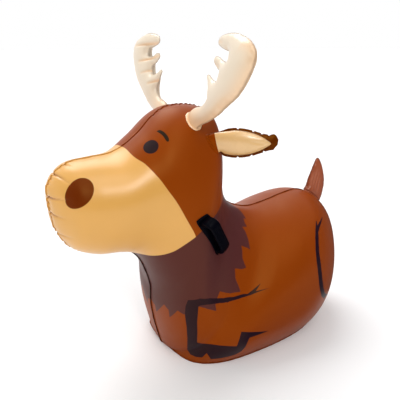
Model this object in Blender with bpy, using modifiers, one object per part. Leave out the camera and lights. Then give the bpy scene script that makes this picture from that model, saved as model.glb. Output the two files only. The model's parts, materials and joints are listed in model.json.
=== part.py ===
"""Inflatable animal hopper: vinyl body, antlers, ears, tail, grips and inflation valve.

Metres, +Z up, the animal faces -Y and its left side is +X. The origin lies on the floor under
the middle of the base panel.
"""
import math
from collections import namedtuple

import bmesh
import bpy
import numpy as np
from mathutils import Matrix, Vector
from mathutils.geometry import delaunay_2d_cdt

# Sheet, welds and clearances
SHEET = 0.0008
GAP = 0.0003
SEAM_FLANGE = 0.004
BASE_LAP = 0.005

# Hull, all heights above the floor and all y from the middle of the base
NOSE_Y = -0.4245
MUZZLE_TOP = 0.4160
MUZZLE_LOW = 0.239
MUZZLE_WIDTH = 0.156
HEAD_TOP = 0.497
HEAD_WIDTH = 0.206
BROW_CROWN = 0.0055
CROWN_PEAK = 0.14
NAPE_Y = -0.092
CHEST_Y = -0.238
SEAT_HEIGHT = 0.268
CROUP_HEIGHT = 0.2835
RUMP_Y = 0.236
BODY_WIDTH = 0.334
BASE_WIDTH = 0.265
BASE_WIDE_Y = -0.065
BASE_FRONT_Y = -0.215
BASE_REAR_Y = 0.1725
BASE_FRONT_FULLNESS = 0.66
BASE_REAR_FULLNESS = 0.82
RIBS_PER_STATION = 2
PANEL_ROWS = 12
FLANGE_STOP_Z = 0.022

# Antlers: each lies in a plane that leans back, its outline as (out, up) from the root
ANTLER_STATION = (8.033, 0.1955)
ANTLER_LIFT = 0.008
ANTLER_LEAN = math.radians(9)
ANTLER_SPLAY = math.radians(41)
ANTLER_ROOT_WIDTH = 0.031
ANTLER_DEPTH = 0.031
ANTLER_FLANGE = 0.002
ANTLER_OUTLINE = (
    (-0.004, 0.020), (0.015, 0.028), (0.028, 0.044), (0.022, 0.063), (0.015, 0.076), (0.013, 0.079),
    (0.020, 0.081), (0.035, 0.073), (0.050, 0.071), (0.055, 0.086), (0.042, 0.094), (0.030, 0.104),
    (0.031, 0.111), (0.043, 0.111), (0.060, 0.104), (0.075, 0.106), (0.074, 0.120), (0.058, 0.124),
    (0.039, 0.131), (0.035, 0.137), (0.041, 0.144), (0.061, 0.148), (0.083, 0.148), (0.104, 0.143),
    (0.123, 0.135), (0.137, 0.121), (0.137, 0.103), (0.130, 0.087), (0.119, 0.068), (0.103, 0.049),
    (0.083, 0.035), (0.061, 0.018), (0.038, 0.004), (0.022, -0.005),
)

# Ears: outline as (across, along) from the root, the same on both edges
EAR_STATION = (8.75, 0.27)
EAR_LIFT = 0.007
EAR_SWEEP = math.radians(51)
EAR_ROOT_SLANT = math.radians(22)
EAR_ROOT_WIDTH = 0.036
EAR_DEPTH = 0.022
EAR_FLANGE = 0.007
EAR_HALF_OUTLINE = (
    (0.0205, 0.015), (0.0225, 0.034), (0.0205, 0.058), (0.0150, 0.079), (0.0080, 0.094),
)
EAR_LENGTH = 0.104

# Tail: outline as (back, up) from the root, in the mid-line plane
TAIL_STATION = 18.35
TAIL_LIFT = 0.0095
TAIL_ROOT_WIDTH = 0.060
TAIL_DEPTH = 0.026
TAIL_FLANGE = 0.0025
TAIL_OUTLINE = (
    (-0.0385, 0.012), (-0.0410, 0.028), (-0.0455, 0.050), (-0.0440, 0.067), (-0.0330, 0.068),
    (-0.0100, 0.057), (0.0110, 0.040), (0.0240, 0.018),
)

# Root tabs: the doubled strip that welds an antler, ear or tail to the skin
TAB_THICKNESS = 0.0019
TAB_DEPTH = 0.030
ROOT_PLAY = 0.0003
ANTLER_FACET = 0.0105
EAR_FACET = 0.010
TAIL_FACET = 0.010

# Grips
GRIP_STATION = (10.0, 0.502)
GRIP_TILT = math.radians(34.6)
GRIP_LENGTH = 0.074
GRIP_WIDTH = 0.020
GRIP_HEIGHT = 0.0250
GRIP_BAR = 0.0085
GRIP_FOOT = 0.011
GRIP_SHOULDER = 0.009
GRIP_ROUND = 0.0026
GRIP_BLANK = 0.020
PATCH_LENGTH = 0.083
PATCH_WIDTH = 0.024
PATCH_CORNER = 0.008
PATCH_SHEET = 0.0014
PATCH_BLANK = 0.040

# Inflation valve on the right flank
VALVE_STATION = (16.6, 0.50)
VALVE_FLANGE_RADIUS = 0.0155
VALVE_FLANGE_HEIGHT = 0.0016
VALVE_FLANGE_SINK = 0.004
VALVE_FLANGE_EDGE = 0.0008
VALVE_FLANGE_BEVEL = 0.002
STEM_RADIUS = 0.0060
STEM_BORE = 0.0042
STEM_LENGTH = 0.017
STEM_COLLAR_RADIUS = 0.0085
STEM_COLLAR_HEIGHT = 0.0012
STEM_LIP_RADIUS = 0.0075
STEM_LIP_HEIGHT = 0.0012
SKIN_HOLE_RADIUS = 0.0072
FLAP_RADIUS = 0.0056
FLAP_SHEET = 0.0006
PLUG_TOP_RADIUS = 0.0039
PLUG_END_RADIUS = 0.0028
PLUG_DEPTH = 0.005
PLUG_SHOULDER = 0.0004
CAP_RADIUS = 0.0066
CAP_HEIGHT = 0.0016
CAP_EDGE = 0.0005
CAP_BEVEL = 0.0006
STRAP_REACH = 0.0140
STRAP_WIDTH = 0.0040
STRAP_SHEET = 0.0011
STRAP_OVERLAP = 0.002
HOLE_REACH = 0.01

SEAM_X = GAP / 2 + SHEET
EDGE_Z = SHEET + GAP
MUZZLE_HALF = MUZZLE_WIDTH / 2
HEAD_HALF = HEAD_WIDTH / 2
BODY_HALF = BODY_WIDTH / 2
BASE_HALF = BASE_WIDTH / 2

Station = namedtuple("Station", "back belly edge upper lower bow crown")


def seam_station(back, belly, upper, lower, bow=0.0, crown=0.0):
    """A rib whose lower end lies on the mid-line seam."""
    return Station(back, belly, 0.0, upper, lower, bow, crown)


def base_station(back, degrees, upper, lower, bow=0.0):
    """A rib whose lower end lies on the oval edge of the base, 0 degrees at its front."""
    angle = math.radians(degrees)
    ahead = math.cos(angle) > 0
    end_y = BASE_FRONT_Y if ahead else BASE_REAR_Y
    fullness = BASE_FRONT_FULLNESS if ahead else BASE_REAR_FULLNESS
    belly_y = BASE_WIDE_Y + (end_y - BASE_WIDE_Y) * abs(math.cos(angle)) ** fullness
    across = abs(math.sin(angle)) ** fullness
    return Station(back, (belly_y, EDGE_Z), BASE_HALF * across, upper, lower, bow, 0.0)


STATIONS = (
    seam_station((NOSE_Y + 0.0007, MUZZLE_TOP - 0.040), (NOSE_Y + 0.0043, MUZZLE_LOW + 0.080),
                 0.0, 0.0, -0.003),
    seam_station((NOSE_Y + 0.0027, MUZZLE_TOP - 0.035), (NOSE_Y + 0.0060, MUZZLE_LOW + 0.063),
                 0.27 * MUZZLE_HALF, 0.27 * MUZZLE_HALF, -0.002),
    seam_station((NOSE_Y + 0.0155, MUZZLE_TOP - 0.018), (NOSE_Y + 0.0140, MUZZLE_LOW + 0.044),
                 0.57 * MUZZLE_HALF, 0.57 * MUZZLE_HALF),
    seam_station((NOSE_Y + 0.040, MUZZLE_TOP - 0.004), (NOSE_Y + 0.0345, MUZZLE_LOW + 0.017),
                 0.86 * MUZZLE_HALF, 0.86 * MUZZLE_HALF),
    seam_station((-0.3475, MUZZLE_TOP), (-0.351, MUZZLE_LOW), MUZZLE_HALF, MUZZLE_HALF),
    seam_station((-0.302, MUZZLE_TOP + 0.0055), (-0.310, MUZZLE_LOW - 0.005),
                 0.88 * HEAD_HALF, 0.085),
    seam_station((-0.258, HEAD_TOP - 0.050), (-0.280, MUZZLE_LOW - 0.014),
                 0.92 * HEAD_HALF, 0.092, crown=BROW_CROWN),
    seam_station((-0.2115, HEAD_TOP - 0.0085), (-0.260, 0.205),
                 0.95 * HEAD_HALF, 0.104, crown=0.1 * BROW_CROWN),
    seam_station((-0.1635, HEAD_TOP), (-0.246, 0.172), 1.02 * HEAD_HALF, 0.116),
    seam_station((-0.113, HEAD_TOP - 0.013), (CHEST_Y, 0.140), 1.04 * HEAD_HALF, 0.128),
    seam_station((NAPE_Y - 0.002, HEAD_TOP - 0.054), (CHEST_Y, 0.105), 0.95 * HEAD_HALF, 0.138),
    seam_station((NAPE_Y, 0.380), (CHEST_Y + 0.005, 0.068), 0.90 * HEAD_HALF, 0.144),
    seam_station((NAPE_Y + 0.010, 0.325), (CHEST_Y + 0.013, 0.033), 0.92 * HEAD_HALF, 0.147),
    base_station((-0.055, SEAT_HEIGHT + 0.019), 0, 0.105, 0.150),
    base_station((-0.005, SEAT_HEIGHT), 32, 0.72 * BODY_HALF, 0.92 * BODY_HALF),
    base_station((0.045, SEAT_HEIGHT + 0.003), 66, 0.885 * BODY_HALF, 0.985 * BODY_HALF),
    base_station((0.093, CROUP_HEIGHT - 0.004), 91, 0.96 * BODY_HALF, BODY_HALF, -0.002),
    base_station((0.140, CROUP_HEIGHT), 111, 0.90 * BODY_HALF, 0.985 * BODY_HALF, -0.005),
    base_station((0.180, CROUP_HEIGHT - 0.015), 130, 0.74 * BODY_HALF, 0.865 * BODY_HALF, -0.003),
    base_station((0.211, CROUP_HEIGHT - 0.045), 150, 0.51 * BODY_HALF, 0.645 * BODY_HALF, 0.005),
    base_station((RUMP_Y - 0.008, CROUP_HEIGHT - 0.082), 166,
                 0.27 * BODY_HALF, 0.34 * BODY_HALF, 0.017),
    base_station((RUMP_Y - 0.003, CROUP_HEIGHT - 0.112), 180, 0.0, 0.0, 0.026),
)
STATION_TABLE = np.array([[*s.back, *s.belly, *s[2:]] for s in STATIONS])
LAST_STATION = len(STATIONS) - 1


def station_values(s):
    """Smooth values between the stations, by a curve through the four nearest ones."""
    i = min(int(s), LAST_STATION - 1)
    f = s - i
    rows = [STATION_TABLE[min(max(i + k, 0), LAST_STATION)] for k in (-1, 0, 1, 2)]
    before, start, end, after = rows
    lead = (end - before) / 2
    trail = (after - start) / 2
    bend = 3 * (end - start) - 2 * lead - trail
    close = 2 * (start - end) + lead + trail
    return start + f * (lead + f * (bend + f * close))


def smooth(value):
    return value * value * (3 - 2 * value)


def hull_point(s, t):
    """Left outside face of the hull: s runs from nose to rump, t from the back down the side.

    Each rib is an oval that is cut off where it meets the edge of the base.
    """
    back_y, back_z, belly_y, belly_z, edge, upper, lower, bow, crown = station_values(s)
    edge = max(edge, 0.0)
    cut = math.asin(min(edge / lower, 1.0)) if lower > edge else 0.0
    angle = (math.pi - cut) * t
    down = (1 - math.cos(angle)) / (1 + math.cos(cut))
    half = max(upper + (lower - upper) * smooth(down), 0.0)
    span_y = belly_y - back_y
    span_z = belly_z - back_z
    span = math.hypot(span_y, span_z)
    aside = bow * math.sin(math.pi * t) / span
    down -= crown / span * t / CROWN_PEAK * math.exp(1 - t / CROWN_PEAK) * (1 - t)
    y = back_y + span_y * down - aside * span_z
    z = back_z + span_z * down + aside * span_y
    return Vector((SEAM_X + half * math.sin(angle), y, max(z, EDGE_Z)))


def hull_normal(s, t):
    step = 0.01
    along = hull_point(min(s + step, LAST_STATION), t) - hull_point(max(s - step, 0.0), t)
    down = hull_point(s, min(t + step, 1.0)) - hull_point(s, max(t - step, 0.0))
    return down.cross(along).normalized()


for old in list(bpy.data.objects):
    bpy.data.objects.remove(old, do_unlink=True)
HOPPER = bpy.data.collections.new("animal_hopper")
CUTTERS = bpy.data.collections.new("cutters")
bpy.context.scene.collection.children.link(HOPPER)
bpy.context.scene.collection.children.link(CUTTERS)


def material(name, colour, roughness):
    made = bpy.data.materials.new(name)
    made.use_nodes = True
    shader = made.node_tree.nodes["Principled BSDF"]
    shader.inputs["Base Color"].default_value = (*colour, 1.0)
    shader.inputs["Roughness"].default_value = roughness
    return made


BROWN = material("brown_vinyl", (0.29, 0.065, 0.008), 0.25)
IVORY = material("ivory_vinyl", (0.90, 0.78, 0.60), 0.25)
TAN = material("tan_vinyl", (0.83, 0.52, 0.20), 0.25)
RUSSET = material("russet_vinyl", (0.27, 0.07, 0.03), 0.25)
BLACK = material("black_moulding", (0.008, 0.008, 0.012), 0.30)
CLEAR = material("pale_valve", (0.80, 0.80, 0.78), 0.30)


def add_object(name, bm, finish, origin=None, collection=HOPPER):
    """Store a bmesh made in world places, with the object's origin where it turns."""
    origin = Vector((0.0, 0.0, 0.0)) if origin is None else Vector(origin)
    bmesh.ops.translate(bm, vec=-origin, verts=bm.verts)
    mesh = bpy.data.meshes.new(name)
    bm.to_mesh(mesh)
    bm.free()
    if finish is not None:
        mesh.materials.append(finish)
    made = bpy.data.objects.new(name, mesh)
    made.location = origin
    collection.objects.link(made)
    if collection is CUTTERS:
        made.hide_render = True
        made.display_type = "WIRE"
    return made


def thicken(made, thickness, outward=False):
    shell = made.modifiers.new("sheet", "SOLIDIFY")
    shell.thickness = thickness
    shell.offset = 1.0 if outward else -1.0
    shell.use_even_offset = True


def boolean(made, cutter, operation):
    cut = made.modifiers.new(operation.lower(), "BOOLEAN")
    cut.operation = operation
    cut.solver = "EXACT"
    cut.object = cutter


def mirrored(source, name):
    """The right-hand twin of a left-hand piece, with the same modifiers."""
    mesh = source.data.copy()
    mesh.name = name
    mesh.transform(Matrix.Diagonal((-1.0, 1.0, 1.0, 1.0)))
    mesh.flip_normals()
    made = bpy.data.objects.new(name, mesh)
    made.location = (-source.location.x, source.location.y, source.location.z)
    HOPPER.objects.link(made)
    for old in source.modifiers:
        new = made.modifiers.new(old.name, old.type)
        for key in ("thickness", "offset", "use_even_offset", "operation", "solver", "object",
                    "width", "segments", "limit_method", "angle_limit"):
            if hasattr(old, key):
                setattr(new, key, getattr(old, key))
    return made


def frame_matrix(across, along, facing, origin):
    columns = Matrix((across, along, facing)).transposed().to_4x4()
    return Matrix.Translation(origin) @ columns


# Hull
def side_grid():
    """The left half of the hull as ribs and rows, split the same way wherever it is used."""
    bm = bmesh.new()
    ribs = LAST_STATION * RIBS_PER_STATION
    bmesh.ops.create_grid(bm, x_segments=ribs, y_segments=PANEL_ROWS, size=1.0)
    for vert in bm.verts:
        s = (vert.co.x + 1) / 2 * LAST_STATION
        t = (1 - vert.co.y) / 2
        vert.co = hull_point(s, t)
    bmesh.ops.triangulate(bm, faces=bm.faces, quad_method="SHORT_EDGE")
    bm.normal_update()
    if sum(face.normal.x for face in bm.faces) < 0:
        bmesh.ops.reverse_faces(bm, faces=bm.faces)
    bm.normal_update()
    return bm


def draw_flange(bm, edges, width, in_plane):
    """Draw open edges out by a width, in the plane given by its normal."""
    outward = {}
    for edge in edges:
        start, end = (vert.co for vert in edge.verts)
        across = (end - start).cross(in_plane).normalized()
        inside = edge.link_faces[0].calc_center_median() - (start + end) / 2
        if across.dot(inside) > 0:
            across.negate()
        for vert in edge.verts:
            key = tuple(round(value, 7) for value in vert.co)
            outward[key] = outward.get(key, Vector((0.0, 0.0, 0.0))) + across
    drawn = bmesh.ops.extrude_edge_only(bm, edges=edges)["geom"]
    for vert in [item for item in drawn if isinstance(item, bmesh.types.BMVert)]:
        key = tuple(round(value, 7) for value in vert.co)
        vert.co += outward[key].normalized() * width


def hull_envelope(name, offset):
    """The closed outside of both side panels, swollen by an offset, to cut what is welded on."""
    bm = side_grid()
    for vert in bm.verts:
        if vert.co.x - SEAM_X < 1e-6:
            vert.co.x = 0.0
    bmesh.ops.mirror(bm, geom=bm.verts[:] + bm.edges[:] + bm.faces[:], axis="X", merge_dist=1e-5)
    open_edges = [edge for edge in bm.edges if edge.is_boundary]
    bmesh.ops.holes_fill(bm, edges=open_edges, sides=0)
    bmesh.ops.recalc_face_normals(bm, faces=bm.faces)
    bm.normal_update()
    for vert in bm.verts:
        vert.co += vert.normal * offset
    return add_object(name, bm, None, collection=CUTTERS)


def side_panel():
    bm = side_grid()
    seam = [edge for edge in bm.edges if edge.is_boundary and all(
        abs(vert.co.x - SEAM_X) < 1e-6 and vert.co.z > FLANGE_STOP_Z for vert in edge.verts)]
    draw_flange(bm, seam, SEAM_FLANGE, Vector((1.0, 0.0, 0.0)))
    panel = add_object("left_side_panel", bm, BROWN)
    thicken(panel, SHEET)
    return panel


def base_panel():
    """Flat oval sheet that laps under the curled lower edges of the side panels."""
    first = next(i for i, station in enumerate(STATIONS) if station.belly[1] == EDGE_Z)
    count = (LAST_STATION - first) * RIBS_PER_STATION
    left = [hull_point(first + i / RIBS_PER_STATION, 1.0) for i in range(count + 1)]
    bm = bmesh.new()
    ring = [bm.verts.new((point.x, point.y, 0.0)) for point in left]
    ring += [bm.verts.new((-point.x, point.y, 0.0)) for point in reversed(left)]
    sheet = bm.faces.new(ring)
    bmesh.ops.recalc_face_normals(bm, faces=[sheet])
    draw_flange(bm, bm.edges[:], BASE_LAP, Vector((0.0, 0.0, 1.0)))
    bmesh.ops.recalc_face_normals(bm, faces=bm.faces)
    if sheet.normal.z < 0:
        bmesh.ops.reverse_faces(bm, faces=bm.faces)
    for vert in bm.verts:
        vert.co.z = SHEET
    panel = add_object("base_panel", bm, BROWN)
    thicken(panel, SHEET)
    return panel


# Inflated pieces
def fine_outline(points, steps):
    """More points on a smooth open curve through the given ones."""
    ends = [2 * points[0] - points[1], *points, 2 * points[-1] - points[-2]]
    fine = []
    for i in range(1, len(ends) - 2):
        before, start, end, after = ends[i - 1:i + 3]
        for k in range(steps):
            f = k / steps
            lead = (end - before) / 2
            trail = (after - start) / 2
            bend = 3 * (end - start) - 2 * lead - trail
            close = 2 * (start - end) + lead + trail
            fine.append(start + f * (lead + f * (bend + f * close)))
    return fine + [points[-1]]


def inside(point, outline):
    """True for a point within a closed outline."""
    crossings = 0
    for start, end in zip(outline, outline[1:] + outline[:1]):
        if (start.y > point.y) != (end.y > point.y):
            cross = start.x + (point.y - start.y) / (end.y - start.y) * (end.x - start.x)
            crossings += cross > point.x
    return crossings % 2 == 1


def edge_distance(point, outline):
    shortest = 1.0
    for start, end in zip(outline, outline[1:] + outline[:1]):
        way = end - start
        share = min(max((point - start).dot(way) / way.length_squared, 0.0), 1.0)
        shortest = min(shortest, (point - start - share * way).length)
    return shortest


def swell(bm, depth):
    """Raise the inside of a flat sheet as air would: a membrane held along its edge."""
    verts = bm.verts[:]
    free = [vert for vert in verts if not vert.is_boundary]
    place = {vert: i for i, vert in enumerate(free)}
    matrix = np.zeros((len(free), len(free)))
    for vert, i in place.items():
        matrix[i, i] = len(vert.link_edges)
        for edge in vert.link_edges:
            other = edge.other_vert(vert)
            if other in place:
                matrix[i, place[other]] = -1.0
    lift = np.sqrt(np.linalg.solve(matrix, np.ones(len(free))))
    for vert, i in place.items():
        vert.co.z += depth * lift[i] / lift.max()


def pillow_half(outline, root_width, spacing, depth, flange):
    """One sheet of an inflated flat piece; its root edge lies on y = 0."""
    points = [Vector((-root_width / 2, 0.0)), *outline, Vector((root_width / 2, 0.0))]
    ring = fine_outline([Vector(point) for point in points], 2)
    low = Vector((min(p.x for p in ring), min(p.y for p in ring)))
    high = Vector((max(p.x for p in ring), max(p.y for p in ring)))
    inner = []
    for i in range(1, int((high.x - low.x) / spacing) + 1):
        for k in range(1, int((high.y - low.y) / spacing) + 1):
            point = low + Vector((i - 0.5 * (k % 2), k)) * spacing
            if inside(point, ring) and edge_distance(point, ring) > 0.55 * spacing:
                inner.append(point)
    edges = [(i, (i + 1) % len(ring)) for i in range(len(ring))]
    coords, _, faces, *_ = delaunay_2d_cdt(ring + inner, edges, [], 1, 1e-6)
    bm = bmesh.new()
    verts = [bm.verts.new((co.x, co.y, GAP / 2 + SHEET)) for co in coords]
    for face in faces:
        bm.faces.new([verts[i] for i in face])
    bm.normal_update()
    if bm.faces[:][0].normal.z < 0:
        bmesh.ops.reverse_faces(bm, faces=bm.faces)
    rim = [edge for edge in bm.edges if edge.is_boundary
           and any(vert.co.y > 1e-5 for vert in edge.verts)]
    swell(bm, depth / 2)
    draw_flange(bm, rim, flange, Vector((0.0, 0.0, 1.0)))
    bmesh.ops.translate(bm, vec=(0.0, ROOT_PLAY, 0.0), verts=bm.verts)
    return bm


def inflated_piece(names, finishes, frame, outline, root_width, depth, flange, spacing, envelope):
    """Two swollen sheets welded at their rim, and the tab that holds their root."""
    made = []
    for name, finish, side in zip(names[:2], finishes[:2], (1, -1)):
        bm = pillow_half(outline, root_width, spacing, depth, flange)
        if side < 0:
            bmesh.ops.scale(bm, vec=(1.0, 1.0, -1.0), verts=bm.verts)
            bmesh.ops.reverse_faces(bm, faces=bm.faces)
        bm.transform(frame)
        made.append(add_object(name, bm, finish, frame.translation))
        thicken(made[-1], SHEET)
    bm = bmesh.new()
    bmesh.ops.create_cube(bm, size=1.0)
    bmesh.ops.scale(bm, vec=(root_width, TAB_DEPTH, TAB_THICKNESS), verts=bm.verts)
    bmesh.ops.translate(bm, vec=(0.0, -TAB_DEPTH / 2 - ROOT_PLAY, 0.0), verts=bm.verts)
    bm.transform(frame)
    tab = add_object(names[2], bm, finishes[2])
    boolean(tab, envelope, "DIFFERENCE")
    return [*made, tab]


def antler_frame():
    out = Vector((1.0, 0.0, 0.0))
    up = Vector((0.0, math.sin(ANTLER_LEAN), math.cos(ANTLER_LEAN)))
    across = out * math.sin(ANTLER_SPLAY) - up * math.cos(ANTLER_SPLAY)
    along = out * math.cos(ANTLER_SPLAY) + up * math.sin(ANTLER_SPLAY)
    root = hull_point(*ANTLER_STATION) + along * ANTLER_LIFT
    return frame_matrix(across, along, across.cross(along), root)


def antler_outline():
    turn = Matrix.Rotation(ANTLER_SPLAY - math.pi / 2, 2).inverted()
    return [turn @ Vector(point) for point in ANTLER_OUTLINE]


def ear_frame():
    """The root line slants with the head while the ear itself points level."""
    level = Vector((math.cos(EAR_SWEEP), math.sin(EAR_SWEEP), 0.0))
    down = Vector((0.0, 0.0, -1.0))
    across = down * math.cos(EAR_ROOT_SLANT) + level * math.sin(EAR_ROOT_SLANT)
    along = level * math.cos(EAR_ROOT_SLANT) - down * math.sin(EAR_ROOT_SLANT)
    root = hull_point(*EAR_STATION) + along * EAR_LIFT
    return frame_matrix(across, along, across.cross(along), root)


def ear_outline():
    upper = [Vector((-x, y)) for x, y in EAR_HALF_OUTLINE]
    lower = [Vector((x, y)) for x, y in reversed(EAR_HALF_OUTLINE)]
    turn = Matrix.Rotation(-EAR_ROOT_SLANT, 2)
    return [turn @ point for point in [*upper, Vector((0.0, EAR_LENGTH)), *lower]]


def tail_frame():
    middle = hull_point(TAIL_STATION, 0.0)
    along_seam = hull_point(TAIL_STATION + 0.3, 0.0) - hull_point(TAIL_STATION - 0.3, 0.0)
    across = Vector((0.0, along_seam.y, along_seam.z)).normalized()
    along = Vector((1.0, 0.0, 0.0)).cross(across)
    root = Vector((0.0, middle.y, middle.z)) + along * TAIL_LIFT
    return frame_matrix(across, along, across.cross(along), root)


# Grips and patches
def grip_frame():
    facing = hull_normal(*GRIP_STATION)
    lean = Vector((0.0, math.sin(GRIP_TILT), -math.cos(GRIP_TILT)))
    along = (lean - facing * lean.dot(facing)).normalized()
    return frame_matrix(along.cross(facing), along, facing, hull_point(*GRIP_STATION))


def grip_patch(frame, skin, outside):
    """Thin sheet laid on the skin under a grip: what lies between two offsets of the hull."""
    bm = bmesh.new()
    bmesh.ops.create_cube(bm, size=1.0)
    bmesh.ops.scale(bm, vec=(PATCH_WIDTH, PATCH_LENGTH, PATCH_BLANK), verts=bm.verts)
    upright = [edge for edge in bm.edges
               if abs(edge.verts[0].co.z - edge.verts[1].co.z) > PATCH_BLANK / 2]
    bmesh.ops.bevel(bm, geom=upright, offset=PATCH_CORNER, segments=4, profile=0.5, affect="EDGES")
    bm.transform(frame)
    patch = add_object("grip_left_patch", bm, BLACK)
    boolean(patch, outside, "INTERSECT")
    boolean(patch, skin, "DIFFERENCE")
    return patch


def grip(frame, envelope):
    """Arched hand grip: a bar on two feet, its feet cut to the patch."""
    half = GRIP_LENGTH / 2
    sink = -GRIP_BLANK
    underside = GRIP_HEIGHT - GRIP_BAR
    bend = GRIP_SHOULDER / 2
    outer = [(-half, sink), (-half, GRIP_HEIGHT - GRIP_SHOULDER), (-half + GRIP_SHOULDER, GRIP_HEIGHT)]
    inner = [(-half + GRIP_FOOT + bend, underside), (-half + GRIP_FOOT, underside - bend),
             (-half + GRIP_FOOT, sink)]
    right = [(-y, z) for y, z in reversed(outer)]
    profile = [*outer, *right, *[(-y, z) for y, z in reversed(inner)], *inner]
    bm = bmesh.new()
    verts = [bm.verts.new((-GRIP_WIDTH / 2, y, z)) for y, z in profile]
    side = bm.faces.new(verts)
    drawn = bmesh.ops.extrude_face_region(bm, geom=[side])["geom"]
    far = [item for item in drawn if isinstance(item, bmesh.types.BMVert)]
    bmesh.ops.translate(bm, vec=(GRIP_WIDTH, 0.0, 0.0), verts=far)
    bmesh.ops.recalc_face_normals(bm, faces=bm.faces)
    bm.transform(frame)
    bar = add_object("grip_left", bm, BLACK)
    rounding = bar.modifiers.new("round", "BEVEL")
    rounding.width = GRIP_ROUND
    rounding.segments = 2
    rounding.limit_method = "ANGLE"
    rounding.angle_limit = math.radians(25)
    boolean(bar, envelope, "DIFFERENCE")
    return bar


# Valve
def turned(profile, frame, steps=24):
    """A solid of revolution about the frame's z from a closed (radius, height) profile."""
    bm = bmesh.new()
    on_axis = [radius == 0.0 for radius, _ in profile]
    verts = [bm.verts.new((radius, 0.0, height)) for radius, height in profile]
    edges = [bm.edges.new((verts[i], verts[i + 1])) for i in range(len(verts) - 1)]
    if not any(on_axis):
        edges.append(bm.edges.new((verts[-1], verts[0])))
    bmesh.ops.spin(bm, geom=verts + edges, axis=(0.0, 0.0, 1.0), cent=(0.0, 0.0, 0.0),
                   angle=2 * math.pi, steps=steps, use_merge=True)
    bmesh.ops.remove_doubles(bm, verts=bm.verts, dist=1e-6)
    bmesh.ops.recalc_face_normals(bm, faces=bm.faces)
    bm.transform(frame)
    return bm


def valve_frame():
    left = hull_point(*VALVE_STATION)
    normal = hull_normal(*VALVE_STATION)
    facing = Vector((-normal.x, normal.y, normal.z))
    down = Vector((0.0, 0.0, -1.0))
    across = (down - facing * down.dot(facing)).normalized()
    return frame_matrix(across, facing.cross(across), facing, (-left.x, left.y, left.z))


def valve(frame, envelope, right_panel):
    origin = frame.translation
    top = GAP + VALVE_FLANGE_HEIGHT
    collar = top + GAP
    seat = collar + STEM_COLLAR_HEIGHT
    inner_end = seat - STEM_LENGTH
    lip = inner_end + STEM_LIP_HEIGHT
    flange = add_object("valve_flange", turned([
        (STEM_RADIUS + GAP, -VALVE_FLANGE_SINK), (VALVE_FLANGE_RADIUS, -VALVE_FLANGE_SINK),
        (VALVE_FLANGE_RADIUS, top - VALVE_FLANGE_EDGE),
        (VALVE_FLANGE_RADIUS - VALVE_FLANGE_BEVEL, top), (STEM_RADIUS + GAP, top)], frame), CLEAR)
    boolean(flange, envelope, "DIFFERENCE")
    add_object("valve_stem", turned([
        (STEM_BORE, inner_end), (STEM_LIP_RADIUS, inner_end), (STEM_LIP_RADIUS, lip), (STEM_RADIUS, lip),
        (STEM_RADIUS, collar), (STEM_COLLAR_RADIUS, collar), (STEM_COLLAR_RADIUS, seat),
        (STEM_BORE, seat)], frame), CLEAR, origin)
    flap_top = inner_end - GAP
    add_object("valve_check_flap", turned([
        (0.0, flap_top - FLAP_SHEET), (FLAP_RADIUS, flap_top - FLAP_SHEET), (FLAP_RADIUS, flap_top),
        (0.0, flap_top)], frame), CLEAR, origin)
    rest = seat + GAP
    pivot = frame @ Vector((STRAP_REACH, 0.0, rest + STRAP_SHEET / 2))
    cap = add_object("valve_cap", turned([
        (0.0, seat - PLUG_DEPTH), (PLUG_END_RADIUS, seat - PLUG_DEPTH),
        (PLUG_TOP_RADIUS, seat - PLUG_SHOULDER), (PLUG_TOP_RADIUS, rest), (CAP_RADIUS, rest),
        (CAP_RADIUS, rest + CAP_HEIGHT - CAP_EDGE), (CAP_RADIUS - CAP_BEVEL, rest + CAP_HEIGHT),
        (0.0, rest + CAP_HEIGHT)], frame), CLEAR, pivot)
    bm = bmesh.new()
    bmesh.ops.create_cube(bm, size=1.0)
    start = CAP_RADIUS - STRAP_OVERLAP
    end = STRAP_REACH + STRAP_SHEET / 2
    bmesh.ops.scale(bm, vec=(end - start, STRAP_WIDTH, STRAP_SHEET), verts=bm.verts)
    bmesh.ops.translate(bm, vec=((start + end) / 2, 0.0, rest + STRAP_SHEET / 2), verts=bm.verts)
    bm.transform(frame)
    boolean(cap, add_object("strap_form", bm, None, collection=CUTTERS), "UNION")
    hole = add_object("valve_hole", turned([
        (0.0, -HOLE_REACH), (SKIN_HOLE_RADIUS, -HOLE_REACH), (SKIN_HOLE_RADIUS, HOLE_REACH),
        (0.0, HOLE_REACH)], frame), None, collection=CUTTERS)
    boolean(right_panel, hole, "DIFFERENCE")


def build():
    skin = hull_envelope("skin_form", GAP)
    over_seam = hull_envelope("over_seam_form", SEAM_FLANGE + GAP)
    patch_face = hull_envelope("patch_face_form", GAP + PATCH_SHEET)
    over_patch = hull_envelope("over_patch_form", 2 * GAP + PATCH_SHEET)
    left = side_panel()
    right = mirrored(left, "right_side_panel")
    base_panel()
    antler = inflated_piece(
        ("antler_left_front_panel", "antler_left_rear_panel", "antler_left_root_tab"),
        (IVORY, IVORY, IVORY), antler_frame(), antler_outline(), ANTLER_ROOT_WIDTH,
        ANTLER_DEPTH, ANTLER_FLANGE, ANTLER_FACET, skin)
    ear = inflated_piece(
        ("ear_left_front_panel", "ear_left_back_panel", "ear_left_root_tab"),
        (TAN, BROWN, BROWN), ear_frame(), ear_outline(), EAR_ROOT_WIDTH,
        EAR_DEPTH, EAR_FLANGE, EAR_FACET, skin)
    inflated_piece(
        ("tail_left_panel", "tail_right_panel", "tail_root_tab"),
        (RUSSET, RUSSET, RUSSET), tail_frame(), [Vector(point) for point in TAIL_OUTLINE],
        TAIL_ROOT_WIDTH, TAIL_DEPTH, TAIL_FLANGE, TAIL_FACET, over_seam)
    frame = grip_frame()
    grips = [grip_patch(frame, skin, patch_face), grip(frame, over_patch)]
    for piece in [*antler, *ear, *grips]:
        mirrored(piece, piece.name.replace("left", "right"))
    valve(valve_frame(), skin, right)


build()
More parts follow.
